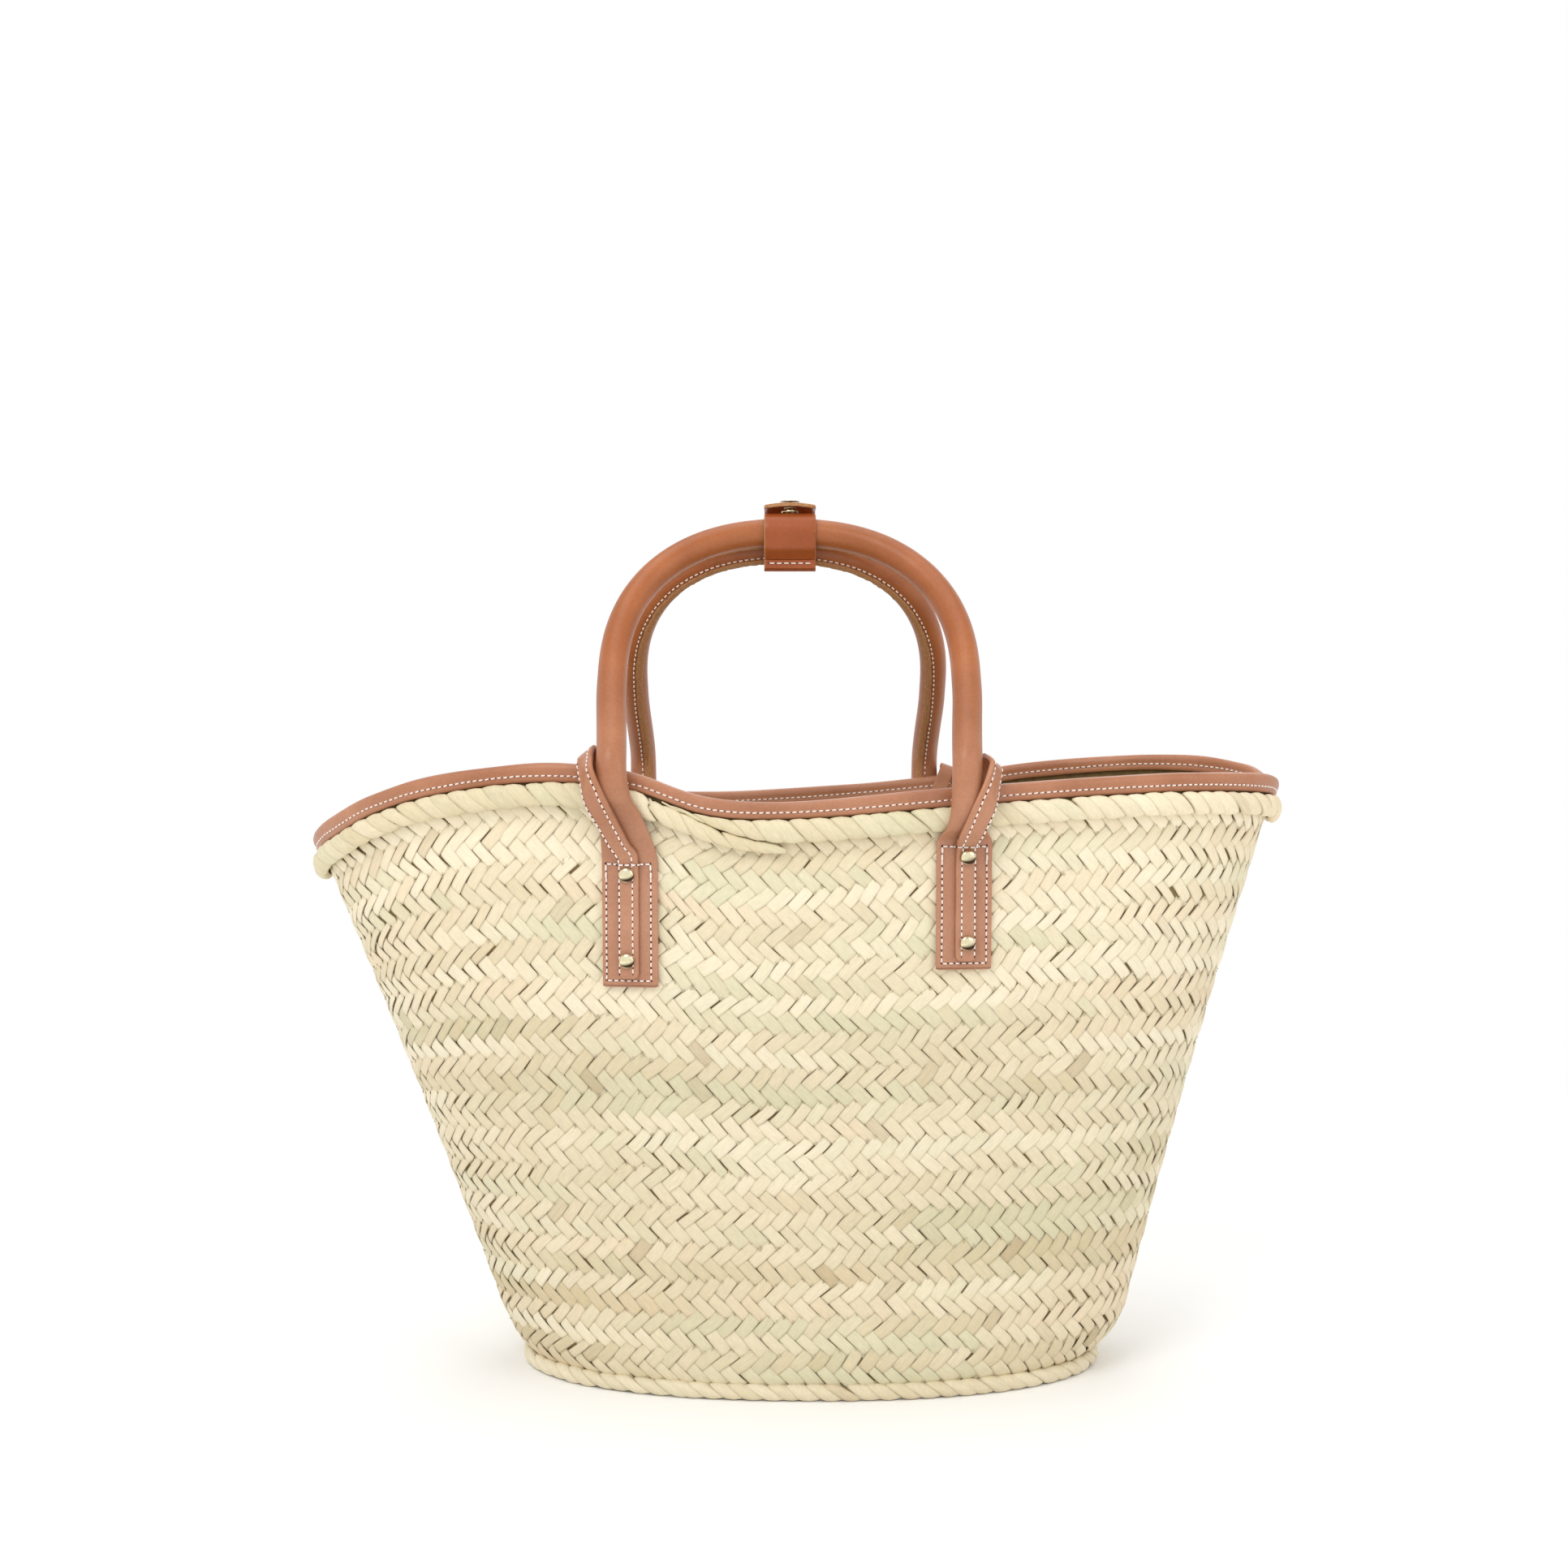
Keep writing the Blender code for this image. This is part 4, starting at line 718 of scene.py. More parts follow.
def wall_leaves(inside, fine):
    """Leaves of every band of the wall, as a list of bands."""
    bands = []
    for k in range(int(np.ceil(BANDS))):
        def ring(share, counts=None, k=k):
            return cell_table(
                lambda angle: plan_point(angle, wall_level(k + share, angle)), CELL, counts
            )

        _, _, first, total, counts = ring(0.5)
        under, over = ring(0.0, counts), ring(1.0, counts)
        rows = []
        for lean, half, v in LEAF_ROWS:
            if k + v > BANDS:
                continue
            u = first + np.arange(total) + half
            side = np.where(u < 0, counts[0], counts[1])
            # The plait is looser and waves more toward the basket's two ends.
            to_end = 1 - np.abs(np.abs(u) / side - 0.5) / 0.5
            loose = smooth_step((to_end - 0.50) / 0.35)
            a, b, uu, vv, height = leaf_grid(u, v, lean, fine, loose)
            sway = smooth_step((side[:, None, None] - np.abs(uu)) / 6.0)
            level = k + vv
            uu = uu + sway * 0.15 * np.sin(0.53 * uu + 1.9 * level)
            vv = vv + sway * 0.030 * np.sin(0.71 * uu - 1.1 * level + 0.8)
            vv = vv + sway * 0.022 * np.sin(1.37 * uu + 2.3 * level)
            # Read between the rings at the band's two edges, so that neighbours interlock.
            angle = mix(np.interp(uu, *under[:2]), np.interp(uu, *over[:2]), vv)
            z = wall_level(k + vv, angle)
            bulge = 0.5 - 0.5 * np.cos(2 * PI * vv)
            proud = PLAIT_SINK + height - SEAM_SINK * (1 - bulge) + 0.00010 * bulge
            if inside:
                proud = -WALL - proud
            # Leaf tones turn lighter from the seventh band up to the fifteenth, so the wall is
            # darker towards the bottom.
            higher = float(smooth_step((k - 6) / 8))
            tones = band_tones(total, 0.04 - 0.30 * higher, (k + v) * 0.35)
            rows.append((wall_point(angle, z, proud), a, b, lean, tones))
        bands.append(rows)
    return bands


def wall_sheet(name, offset, low, under_rim, steps=240, rows=24):
    angle = np.linspace(0, 2 * PI, steps, endpoint=False)[None, :]
    f = np.linspace(0, 1, rows)[:, None]
    z = mix(low, rim_height(angle) - under_rim, f)
    points = wall_point(angle + 0 * f, z, np.full((rows, steps), offset))
    return mesh_object(name, points, grid_quads(rows, steps, ring_columns=True), [SHADOW])


def build_wall():
    for inside, material, pieces in (
        (False, PALM, (("foot", 0, 4), ("lower", 4, 8), ("upper", 8, 12), ("top", 12, 16))),
        (True, PALM_IN, (("inside_low", 0, 8), ("inside_high", 8, 16))),
    ):
        bands = wall_leaves(inside, not inside)
        for name, low, high in pieces:
            sets = [row for band in bands[low:high] for row in band]
            piece = leaf_mesh("wall_plait_" + name, sets, [material], flip=inside)
            place_on(piece, "basket", "palm_leaf", "side_wall")
    # A dark sheet in the middle of the wall: painted shadow, seen through the slits between leaves.
    sheet = wall_sheet("wall_plait_core", -WALL / 2, 0.0066, 0.0042)
    place_on(sheet, "basket", "palm_leaf", "side_wall")


def build_base():
    """The base mat: oval rings of the same plait, seen from below and from inside."""
    centre, half, depth = (float(v) for v in half_sizes(WALL_FOOT))
    inset = FOOT_HALF_THICK - FOOT_ROPE_OFFSET + GAP
    half, depth, power = half - inset, depth - inset, 2 / float(plan_power(WALL_FOOT))
    inset = depth / BASE_RINGS

    def ring(angle, t):
        x = centre + np.maximum(half - t * inset, 0) * signed_power(np.cos(angle), power)
        y = np.maximum(depth - t * inset, 0) * signed_power(np.sin(angle), power)
        return np.stack(np.broadcast_arrays(x, y, 0.0), -1)

    for name, upward in (("base_plait_under", False), ("base_plait_inside", True)):
        sets = []
        for k in range(int(np.ceil(BASE_RINGS))):
            cells, turns, first, total, _ = cell_table(
                lambda angle, k=k: ring(angle, min(k + 0.5, BASE_RINGS - 0.2)), CELL
            )
            for lean, half_cell, v in LEAF_ROWS:
                if k + v > BASE_RINGS:
                    continue
                u = first + np.arange(total) + half_cell
                a, b, uu, vv, height = leaf_grid(u, v, lean, False)
                points = ring(np.interp(uu, cells, turns), k + vv).copy()
                level = height - 0.0004 * (0.5 + 0.5 * np.cos(2 * PI * vv))
                points[..., 2] = 0.0018 + level if upward else 0.0012 - level
                sets.append((points, a, b, lean, band_tones(total, 0.1)))
        piece = leaf_mesh(name, sets, [PALM_IN if upward else PALM], flip=not upward)
        place_on(piece, "basket", "palm_leaf", "base_mat")
    # A dark sheet in the middle of the base: painted shadow, seen through the slits between leaves.
    angle = np.linspace(0, 2 * PI, 96, endpoint=False)[None, :]
    scale = np.array([0.02, 0.4, 0.8, 0.985])[:, None]
    x = centre + half * scale * signed_power(np.cos(angle), power)
    y = depth * scale * signed_power(np.sin(angle), power)
    points = np.stack(np.broadcast_arrays(x, y, 0.0015), -1)
    piece = mesh_object(
        "base_plait_core", points, grid_quads(4, 96, ring_columns=True), [SHADOW]
    )
    place_on(piece, "basket", "palm_leaf", "base_mat")


# ---------------------------------------------------------------- wrapped ropes


def rope_start_size(turn):
    return mix(ROPE_TIP_SIZE, 1.0, smooth_step((turn - ROPE_START) / ROPE_TIP_TURN))


def rim_rope_path():
    turn = np.arange(ROPE_START, ROPE_END, 0.2)
    angle = np.radians(turn)
    tail = mix(1.0, ROPE_TAIL_SIZE, (turn - ROPE_END + ROPE_TAIL_TURN) / ROPE_TAIL_TURN)
    size = np.minimum(rope_start_size(turn), tail)
    top = rim_height(angle) - BINDING_HEIGHT - GAP
    start = rope_start_size(turn - 360.0)
    lapped = turn > ROPE_START + 360.0 - ROPE_LAP_TURN
    top = top - np.where(lapped, 2 * ROPE_HALF_HEIGHT * start + 3 * GAP, 0.0)
    z = top - ROPE_HALF_HEIGHT * size
    offset = GAP + BINDING_CLEAR + ROPE_HALF_THICK * np.maximum(size, ROPE_LEAST_STANDOFF)
    return wall_point(angle, z, offset), wall_normal(angle, z), size


def foot_rope_path():
    angle = np.radians(np.arange(70.0, 430.0, 0.25))
    out = wall_normal(angle, WALL_FOOT) * np.array([1.0, 1.0, 0.0])
    centres = foot_point(angle, FOOT_HALF_HEIGHT + FOOT_ROPE_BOTTOM, FOOT_ROPE_OFFSET)
    return centres, unit(out), 1.0 + 0 * angle


def build_rope(node, path, half_thick, half_height, wrap):
    """A rope wrapped in overlapping slanted leaf strips, round an unseen filling."""
    centres, normals, size = path
    pitch, slant = wrap
    name = node + "_wrap"
    length = along_path(centres)
    table = np.concatenate([centres, normals, size[:, None]], 1)
    total = length[-1]
    count = int(total / pitch)
    phi = np.radians(np.linspace(-STRIP_REACH, STRIP_REACH, 13))[None, :, None]
    b = STRIP_ACROSS[None, None, :]
    jitter = rng.standard_normal((5, count, 1, 1))
    middle = (np.arange(count) + 0.5)[:, None, None] * (total / count)
    s = middle + pitch * (0.56 + 0.03 * jitter[0]) * b + pitch * 0.08 * jitter[1]
    s = s - slant * half_height * np.sin(phi) * (1 + 0.12 * jitter[2])
    s = np.clip(s, 0.0, total)
    row = at_length(table, length, s)
    centre, out, scale = row[..., :3], unit(row[..., 3:6]), row[..., 6]
    ahead, behind = (
        at_length(table, length, np.clip(s + step, 0, total))[..., :3] for step in (1e-3, -1e-3)
    )
    along = unit(ahead - behind)
    up = unit(np.cross(out, along))
    up = np.where(up[..., 2:3] < 0, -up, up)
    crown = STRIP_CROWN * (1 - b * b) - STRIP_LEAN * b + 0.00012 * jitter[3]
    crown = np.where(np.abs(b) > 1.01, crown - STRIP_EDGE, crown) * np.maximum(scale, 0.5)
    bottom = 1.0 + 0.05 * np.clip(-np.sin(phi), 0, 1)
    thick = half_thick * scale - 0.0003 + crown
    tall = (half_height * scale - 0.0004) * bottom + crown
    points = (
        centre
        + out * (thick * np.cos(phi))[..., None]
        + up * (tall * np.sin(phi))[..., None]
    )
    rows, columns = phi.shape[1], b.shape[2]
    quads = repeat_quads(grid_quads(rows, columns)[:, ::-1], count, rows * columns)
    tone = band_tones(count, 0.0)
    chance = tone[:, 2][:, None, None] * 40
    uv = np.stack(np.broadcast_arrays(phi * 1.2 + chance, b * 0.5 + chance), -1)
    spread = np.repeat(tone, rows * columns, axis=0)
    # The colour's alpha: how near a point is to the strip's sides, where the palm shader paints
    # shade.
    rim = np.clip((np.abs(b + 0 * phi) - 0.60) / 0.40, 0, 1) + np.zeros((count, 1, 1))
    spread = np.concatenate([spread, rim.reshape(-1, 1)], 1)
    piece = mesh_object(name, points, quads, [PALM], uv, spread)
    place_on(piece, "basket", "palm_leaf", node)
    # The filling shows as shadow between the strips.
    step = slice(None, None, 6)
    sides = np.linspace(0, 2 * PI, 10, endpoint=False)[None, :]
    out, middle = normals[step], centres[step]
    up = np.cross(out, unit(np.gradient(middle, axis=0)))
    up = np.where(up[:, 2:3] < 0, -up, up)
    shrink = size[step][:, None]
    fill = (
        middle[:, None]
        + out[:, None] * (np.cos(sides) * (half_thick * shrink - 0.0006))[..., None]
        + up[:, None] * (np.sin(sides) * (half_height * shrink - 0.0008))[..., None]
    )
    filling = mesh_object(
        name + "_filling", fill, grid_quads(len(middle), 10, ring_columns=True), [SHADOW]
    )
    place_on(filling, "basket", "palm_leaf", node)


# ---------------------------------------------------------------- stitches


class Stitches:
    """Collects thread stitches and the needle holes between them into two meshes."""

    def __init__(self):
        self.starts, self.ends, self.normals, self.sizes = [], [], [], []

    def row(
        self, points, normals, pitch=STITCH, gap=STITCH_GAP, size=THREAD_RADIUS, slant=0.0
    ):
        points, normals = np.asarray(points, float), unit(normals)
        length = along_path(points)
        count = max(1, round(length[-1] / pitch))
        step = length[-1] / count
        begin = np.arange(count) * step + gap / 2
        table = np.concatenate([points, normals], 1)
        first = at_length(table, length, begin)
        last = at_length(table, length, begin + step - gap)
        middle = at_length(table, length, begin + (step - gap) / 2)
        normal = unit(middle[:, 3:])
        along = unit(last[:, :3] - first[:, :3])
        side = np.cross(normal, along)
        wobble = rng.standard_normal((2, count, 1)) * 0.00005
        self.starts.append(first[:, :3] + side * (wobble[0] - slant))
        self.ends.append(last[:, :3] + side * (wobble[1] + slant))
        self.normals.append(normal)
        self.sizes.append(np.full(count, size))

    def build(self, name, body=None):
        start, end = np.concatenate(self.starts), np.concatenate(self.ends)
        normal, size = np.concatenate(self.normals), np.concatenate(self.sizes)
        along = end - start
        half = np.linalg.norm(along, axis=1)[:, None, None] / 2
        along = unit(along)
        side = unit(np.cross(normal, along))
        normal = np.cross(along, side)
        middle = (start + end) / 2
        x = np.array([-1.0, -0.88, -0.5, 0.0, 0.5, 0.88, 1.0])[None, :, None]
        around = (np.linspace(0, 2 * PI, 6, endpoint=False) + PI / 6)[None, None, :]
        radius = size[:, None, None] * np.sqrt(np.clip(1.02 - np.abs(x) ** 3, 0.02, 1))
        lift = size[:, None, None] * (0.85 - 1.1 * x * x)

        def spread(vector):
            return vector[:, None, None, :]

        points = (
            spread(middle)
            + spread(along) * (x * half + 0 * around)[..., None]
            + spread(side) * (radius * np.cos(around) * 1.12)[..., None]
            + spread(normal) * (radius * np.sin(around) + lift)[..., None]
        )
        count = len(start)
        quads = repeat_quads(grid_quads(7, 6, ring_columns=True)[:, ::-1], count, 42)
        thread = mesh_object(name + "_thread", points, quads, [THREAD])
        # A needle hole at each stitch's start: a flat dark patch, painted shade standing for the
        # hole's depth.
        ring = np.array([1.0, 0.6, 0.12])[None, :, None]
        rise = np.array([-0.00004, 0.00007, 0.00009])[None, :, None]
        seat = start - along * HOLE_AHEAD
        points = (
            spread(seat)
            + spread(along) * (HOLE_LONG * ring * np.cos(around))[..., None]
            + spread(side) * (HOLE_WIDE * ring * np.sin(around))[..., None]
            + spread(normal) * (rise + 0 * around + 0 * size[:, None, None])[..., None]
        )
        quads = repeat_quads(grid_quads(3, 6, ring_columns=True), count, 18)
        holes = mesh_object(name + "_holes", points, quads, [HOLE])
        for piece in (thread, holes):
            if body:
                place_on(piece, body, "leather")
        return thread, holes


# ---------------------------------------------------------------- rim binding


def build_binding():
    """Leather folded over the rim, with one row of stitches along each face."""
    out, inner = GAP + BINDING_LEATHER, -(WALL + GAP)
    back = inner - BINDING_LEATHER
    # From the outer face's cut edge over the rim to the inner one: (distance out, drop).
    profile = np.array([
        (GAP + 0.0001, 0.00795), (GAP + 0.0007, 0.00822), (out - 0.0002, 0.00812),
        (out + 0.0001, 0.0076), (out + 0.00025, 0.0064), (out - 0.0001, 0.0052),
        (out + 0.0004, 0.0038), (out + 0.0005, 0.0024), (out + 0.0002, 0.0012),
        (out - 0.0005, 0.00035), (GAP - 0.0006, 0.0), (-WALL * 0.5, -0.0001),
        (inner + 0.0006, 0.0), (back + 0.0005, 0.00035), (back - 0.0002, 0.0012),
        (back - 0.0005, 0.0024), (back - 0.0004, 0.0038), (back + 0.0001, 0.0052),
        (back - 0.00025, 0.0064), (back - 0.0001, 0.0076), (back + 0.0002, 0.00812),
        (inner - 0.0007, 0.00822), (inner - 0.0001, 0.00795),
    ])
    steps = 480
    angle = np.linspace(0, 2 * PI, steps, endpoint=False)[:, None]
    wave = 0.00022 * soft_random(steps, 5)[:, None]
    puff = 0.00012 * soft_random(steps, 3)[:, None]
    top = rim_height(angle)
    fold = np.clip(1 - profile[None, :, 1] / 0.006, 0, 1)
    z = top - profile[None, :, 1] + wave * fold
    offset = profile[None, :, 0] + puff * np.sign(profile[None, :, 0] + WALL / 2) * fold
    points = wall_point(angle + 0 * z, z, offset)
    columns = len(profile)
    quads = grid_quads(steps, columns, ring_rows=True)
    which = np.zeros(len(quads), int).reshape(steps, columns - 1)
    which[:, [0, 1, -2, -1]] = 1
    piece = mesh_object("rim_binding_leather", points, quads[:, ::-1], [TAN, EDGE],
                        which=which.ravel())
    place_on(piece, "basket", "leather", "rim_binding")
    ring = np.linspace(0, 2 * PI, 1441)
    z = rim_height(ring) - BINDING_STITCH_DROP
    rows = Stitches()
    for way, face in ((1, out - 0.0001), (-1, back + 0.0001)):
        line = wall_point(ring, z, np.full(len(ring), face))
        rows.row(line, way * wall_normal(ring, z), slant=0.00010)
    rows.build("rim_binding_stitches", "basket")


# ---------------------------------------------------------------- handles


def arch_plane(arch):
    side, centre_x, _, top_y, top_z = arch
    foot = np.array([centre_x, side * HINGE_Y, HINGE_Z])
    top = np.array([centre_x, side * top_y, top_z])
    rise = np.linalg.norm(top - foot)
    return foot, (top - foot) / rise, rise


def arch_line(arch, steps=150):
    """Centre line of a handle above its hinge, left end first, as (across, up)."""
    spread = arch[2]
    rise = arch_plane(arch)[2]
    f = np.linspace(0, 1, 24, endpoint=False)
    leg = np.stack([-mix(spread - LEG_DRAW, spread, smooth_step(f * 1.2)), STRAIGHT * f], 1)
    a = PI * (1 - np.linspace(0, 1, steps))
    crown = np.stack(
        [
            spread * signed_power(np.cos(a), 2 / ARCH_POWER),
            STRAIGHT + (rise - STRAIGHT) * np.clip(np.sin(a), 0, 1) ** (2 / ARCH_POWER),
        ],
        1,
    )
    other = leg[::-1] * np.array([-1, 1])
    line = np.concatenate([leg, crown, other])
    length = along_path(line)
    return at_length(line, length, np.linspace(0, length[-1], 220))


def leg_stations(leg):
    """Sections of a leg from the tab's bottom to the hinge, as in the CAD."""
    arch, end, tab_x, tab_top = LEGS[leg]
    side, centre_x, spread = arch[:3]
    tube_x = centre_x + end * (spread - LEG_DRAW)
    rim = float(rim_height(angle_at(tube_x, RIM_LEVEL, side)))
    thin = TAB_LEATHER / 2
    bottom = tab_top - TAB_LENGTH
    rope_low = rim - BINDING_HEIGHT - 2 * ROPE_HALF_HEIGHT
    rope_out = 2 * ROPE_HALF_THICK + 4 * GAP
    plan = [
        (tab_x, mix(bottom, tab_top, share), GAP, TAB_HALF_WIDTH, thin, TAB_SQUARENESS)
        for share in (0.0, 0.33, 0.67, 0.98)
    ]
    rises = [
        (mix(tab_top, rope_low, 0.5), GAP + LEG_LIFT),
        (rope_low, rope_out * 0.96),
        (rope_low + ROPE_HALF_HEIGHT, rope_out),
        (rim - BINDING_HEIGHT * 0.75, rope_out * 0.90),
    ]
    for (z, back), (share, half_width, half_thick, square) in zip(rises, LEG_SECTIONS):
        plan.append((mix(tab_x, tube_x, share), z, back, half_width, half_thick, square))
    stations = []
    for x, z, back, half_width, half_thick, square in plan:
        angle = angle_at(x, z, side)
        out = wall_normal(angle, z)
        centre = plan_point(angle, z) + out * (back + half_thick)
        stations.append((x, centre[1], centre[2], half_width, half_thick, square, out[1], out[2]))
    foot, up, _ = arch_plane(arch)
    lean = (side * up[2], -side * up[1])
    for back_off in (LEG_TOP, GAP):
        centre = foot - up * back_off
        stations.append((tube_x, centre[1], centre[2], TUBE_RADIUS, TUBE_RADIUS, 2.0, *lean))
    return np.array(stations, float)


LEG_TABLES = {leg: through(leg_stations(leg), np.linspace(0, 1, 161)) for leg in LEGS}


def leg_reach(leg, x, z):
    """How far the leg's outer face stands off the wall at this x and height."""
    side = LEGS[leg][0][0]
    table = LEG_TABLES[leg]
    x, z = np.broadcast_arrays(np.asarray(x, float), np.asarray(z, float))
    columns = [np.interp(z, table[:, 2], table[:, i]) for i in range(6)]
    station_x, station_y, _, width, thick, square = columns
    dx = np.abs(x - station_x) / width
    bulge = thick * np.clip(1.0 - dx**square, 0, 1) ** (1.0 / square)
    wall = plan_point(angle_at(station_x, z, side), z)[..., 1]
    reach = np.abs(station_y) - np.abs(wall) + bulge
    inside = (dx < 1.0) & (z >= table[0, 2]) & (z <= table[-1, 2])
    return np.where(inside, reach, 0.0)


def stack_reach(leg, x, z):
    """How far the rope, the binding and the leg stand off the wall, whichever is most."""
    side = LEGS[leg][0][0]
    rim = rim_height(angle_at(x, z, side))
    on_binding = z > rim - BINDING_HEIGHT - BINDING_MARGIN
    binding = np.where(on_binding, GAP + BINDING_CLEAR + BINDING_LEATHER, 0.0)
    rope_top = rim - BINDING_HEIGHT + ROPE_MARGIN
    on_rope = (z < rope_top) & (z > rope_top - 2 * ROPE_HALF_HEIGHT - 2 * ROPE_MARGIN)
    rope = np.where(on_rope, 2 * ROPE_HALF_THICK + 3 * GAP, 0.0)
    return np.maximum(np.maximum(binding, rope), leg_reach(leg, x, z))


def section(station, cosines, sines, flip, side):
    """One ring of the handle leather, flat at the tab and round at the tube."""
    x, y, z, half_width, half_thick, square, out_y, out_z = station
    out = unit([0, out_y, out_z])
    power = 2.0 / square
    dx = flip * half_width * signed_power(cosines, power)
    dn = half_thick * signed_power(sines, power)
    ring = np.array([x, y, z]) + dx[:, None] * np.array([1.0, 0, 0]) + dn[:, None] * out
    share = float(smooth_step((square - 3.0) / 3.0))
    if share > 0:
        middle = plan_point(angle_at(x, z, side), z)[1]
        ring[:, 1] += (plan_point(angle_at(ring[:, 0], z, side), z)[:, 1] - middle) * share
    return ring


def tube_frame(arch):
    """World points of the centre line above the hinge, with its inner and outward directions."""
    side = arch[0]
    foot, up, _ = arch_plane(arch)
    line = arch_line(arch)
    centre = foot + line[:, :1] * np.array([1.0, 0, 0]) + line[:, 1:] * up
    tangent = np.gradient(line, axis=0)
    tangent[0] = (0, 1)
    tangent[-1] = (0, -1)
    tangent = unit(tangent)
    inner = tangent[:, 1:] * np.array([1.0, 0, 0]) - tangent[:, :1] * up
    outward = np.array([0, side * up[2], -side * up[1]])
    return centre, inner, outward


def around_ring(rings, turns):
    """Points and outward directions on tube rings at turns in degrees round each ring."""
    sides = rings.shape[1]
    at = (turns % 360.0) / 360.0 * sides
    low = np.floor(at).astype(int) % sides
    share = (at % 1.0)[..., None]
    row = np.arange(len(rings))[:, None]
    skin = mix(rings[row, low], rings[row, (low + 1) % sides], share)
    return skin, unit(skin - rings.mean(1)[:, None])


def eased(rings, joints, reach):
    """Rings of a tube smoothed along its length near each joint, so that no crease shows."""
    at = np.arange(len(rings))
    share = sum(smooth_step(1.3 - np.abs(at - joint) / reach) for joint in joints)
    share = np.clip(share, 0, 1)[:, None, None]
    for _ in range(60):
        near = rings.copy()
        near[1:-1] = (rings[:-2] + rings[1:-1] + rings[2:]) / 3
        rings = mix(rings, near, share)
    return rings


def build_handle(name, arch, legs, body, nodes):
    """One handle's leather from tab to tab, its lapped seam and its stitches."""
    side = arch[0]
    sides = 44
    around = np.linspace(0, 2 * PI, sides, endpoint=False)
    cosines, sines = np.cos(around), np.sin(around)
    centre, inner, outward = tube_frame(arch)
    tube = (
        centre[:, None]
        + inner[:, None] * (cosines * TUBE_RADIUS)[None, :, None]
        + outward[None, None] * (sines * TUBE_RADIUS)[None, :, None]
    )
    parts = []
    for leg, flip in zip(legs, (1, -1)):
        shares = np.concatenate([[0, 0, 0], np.linspace(0.012, 1, 84)])
        table = through(leg_stations(leg), shares)
        rounding = [(0.0011, 0.0), (0.0003, 0.0003), (0.0, 0.0010)]
        for row, (narrow, lift) in zip(table[:3], rounding):
            row[3] -= narrow
            row[2] += lift
        parts.append([section(row, cosines, sines, flip, side) for row in table])
    left, right = parts
    rings = left + list(tube[1:-1]) + right[::-1]
    rings = eased(np.array(rings), (len(left) - 2, len(rings) - len(right) + 1), 15)
    squeeze = (1.0, 0.9, 0.5, 0.05)
    first = [mix(left[0].mean(0), left[0], f) for f in squeeze[:0:-1]]
    last = [mix(right[0].mean(0), right[0], f) for f in squeeze[1:]]
    rings = np.concatenate([first, rings, last])
    quads = grid_quads(len(rings), sides, ring_columns=True)
    if side > 0:
        quads = quads[:, ::-1]
    edge = np.zeros((len(rings) - 1, sides), int)
    flat_rows = len(first) + TAB_ROWS
    for i in range(sides):
        if abs(cosines[i] + cosines[(i + 1) % sides]) > 1.985:
            edge[:flat_rows, i] = 1
            edge[-flat_rows:, i] = 1
    edge[: len(first)] = 1
    edge[-len(last) :] = 1
    piece = mesh_object(name, rings, quads, [TAN, EDGE], which=edge.ravel())
    foot, up, _ = arch_plane(arch)
    bend = (foot - up * BEND_BELOW, foot + up * BEND_ABOVE)
    bend_between(piece, ("basket", body), bend, *nodes)
    # The lapped seam: a raw edge along the inner face with a stitch row beside it.
    tubes = rings[len(first) + LEG_ROWS : -(len(last) + LEG_ROWS)]
    rough = 0.00010 * rng.standard_normal((len(tubes), len(SEAM_PROFILE)))
    turn = SEAM_TURN + SEAM_PROFILE[None, :] + np.degrees(rough / TUBE_RADIUS * 2)
    skin, out = around_ring(tubes, turn)
    points = skin + out * (SEAM_RISE[None, :] + rough * 0.5)[..., None]
    quads = grid_quads(len(tubes), len(SEAM_PROFILE))
    seam = mesh_object(name + "_raw_edge", points, quads if side < 0 else quads[:, ::-1], [RAW])
    skin, out = around_ring(tubes, np.full((len(tubes), 1), SEAM_TURN + SEAM_STITCH_TURN))
    rows = Stitches()
    rows.row(skin[:, 0] - out[:, 0] * STITCH_SINK, out[:, 0], size=FINE_THREAD)
    for part in (seam, *rows.build(name + "_seam_stitches")):
        bend_between(part, ("basket", body), bend)


# ---------------------------------------------------------------- strips of leather


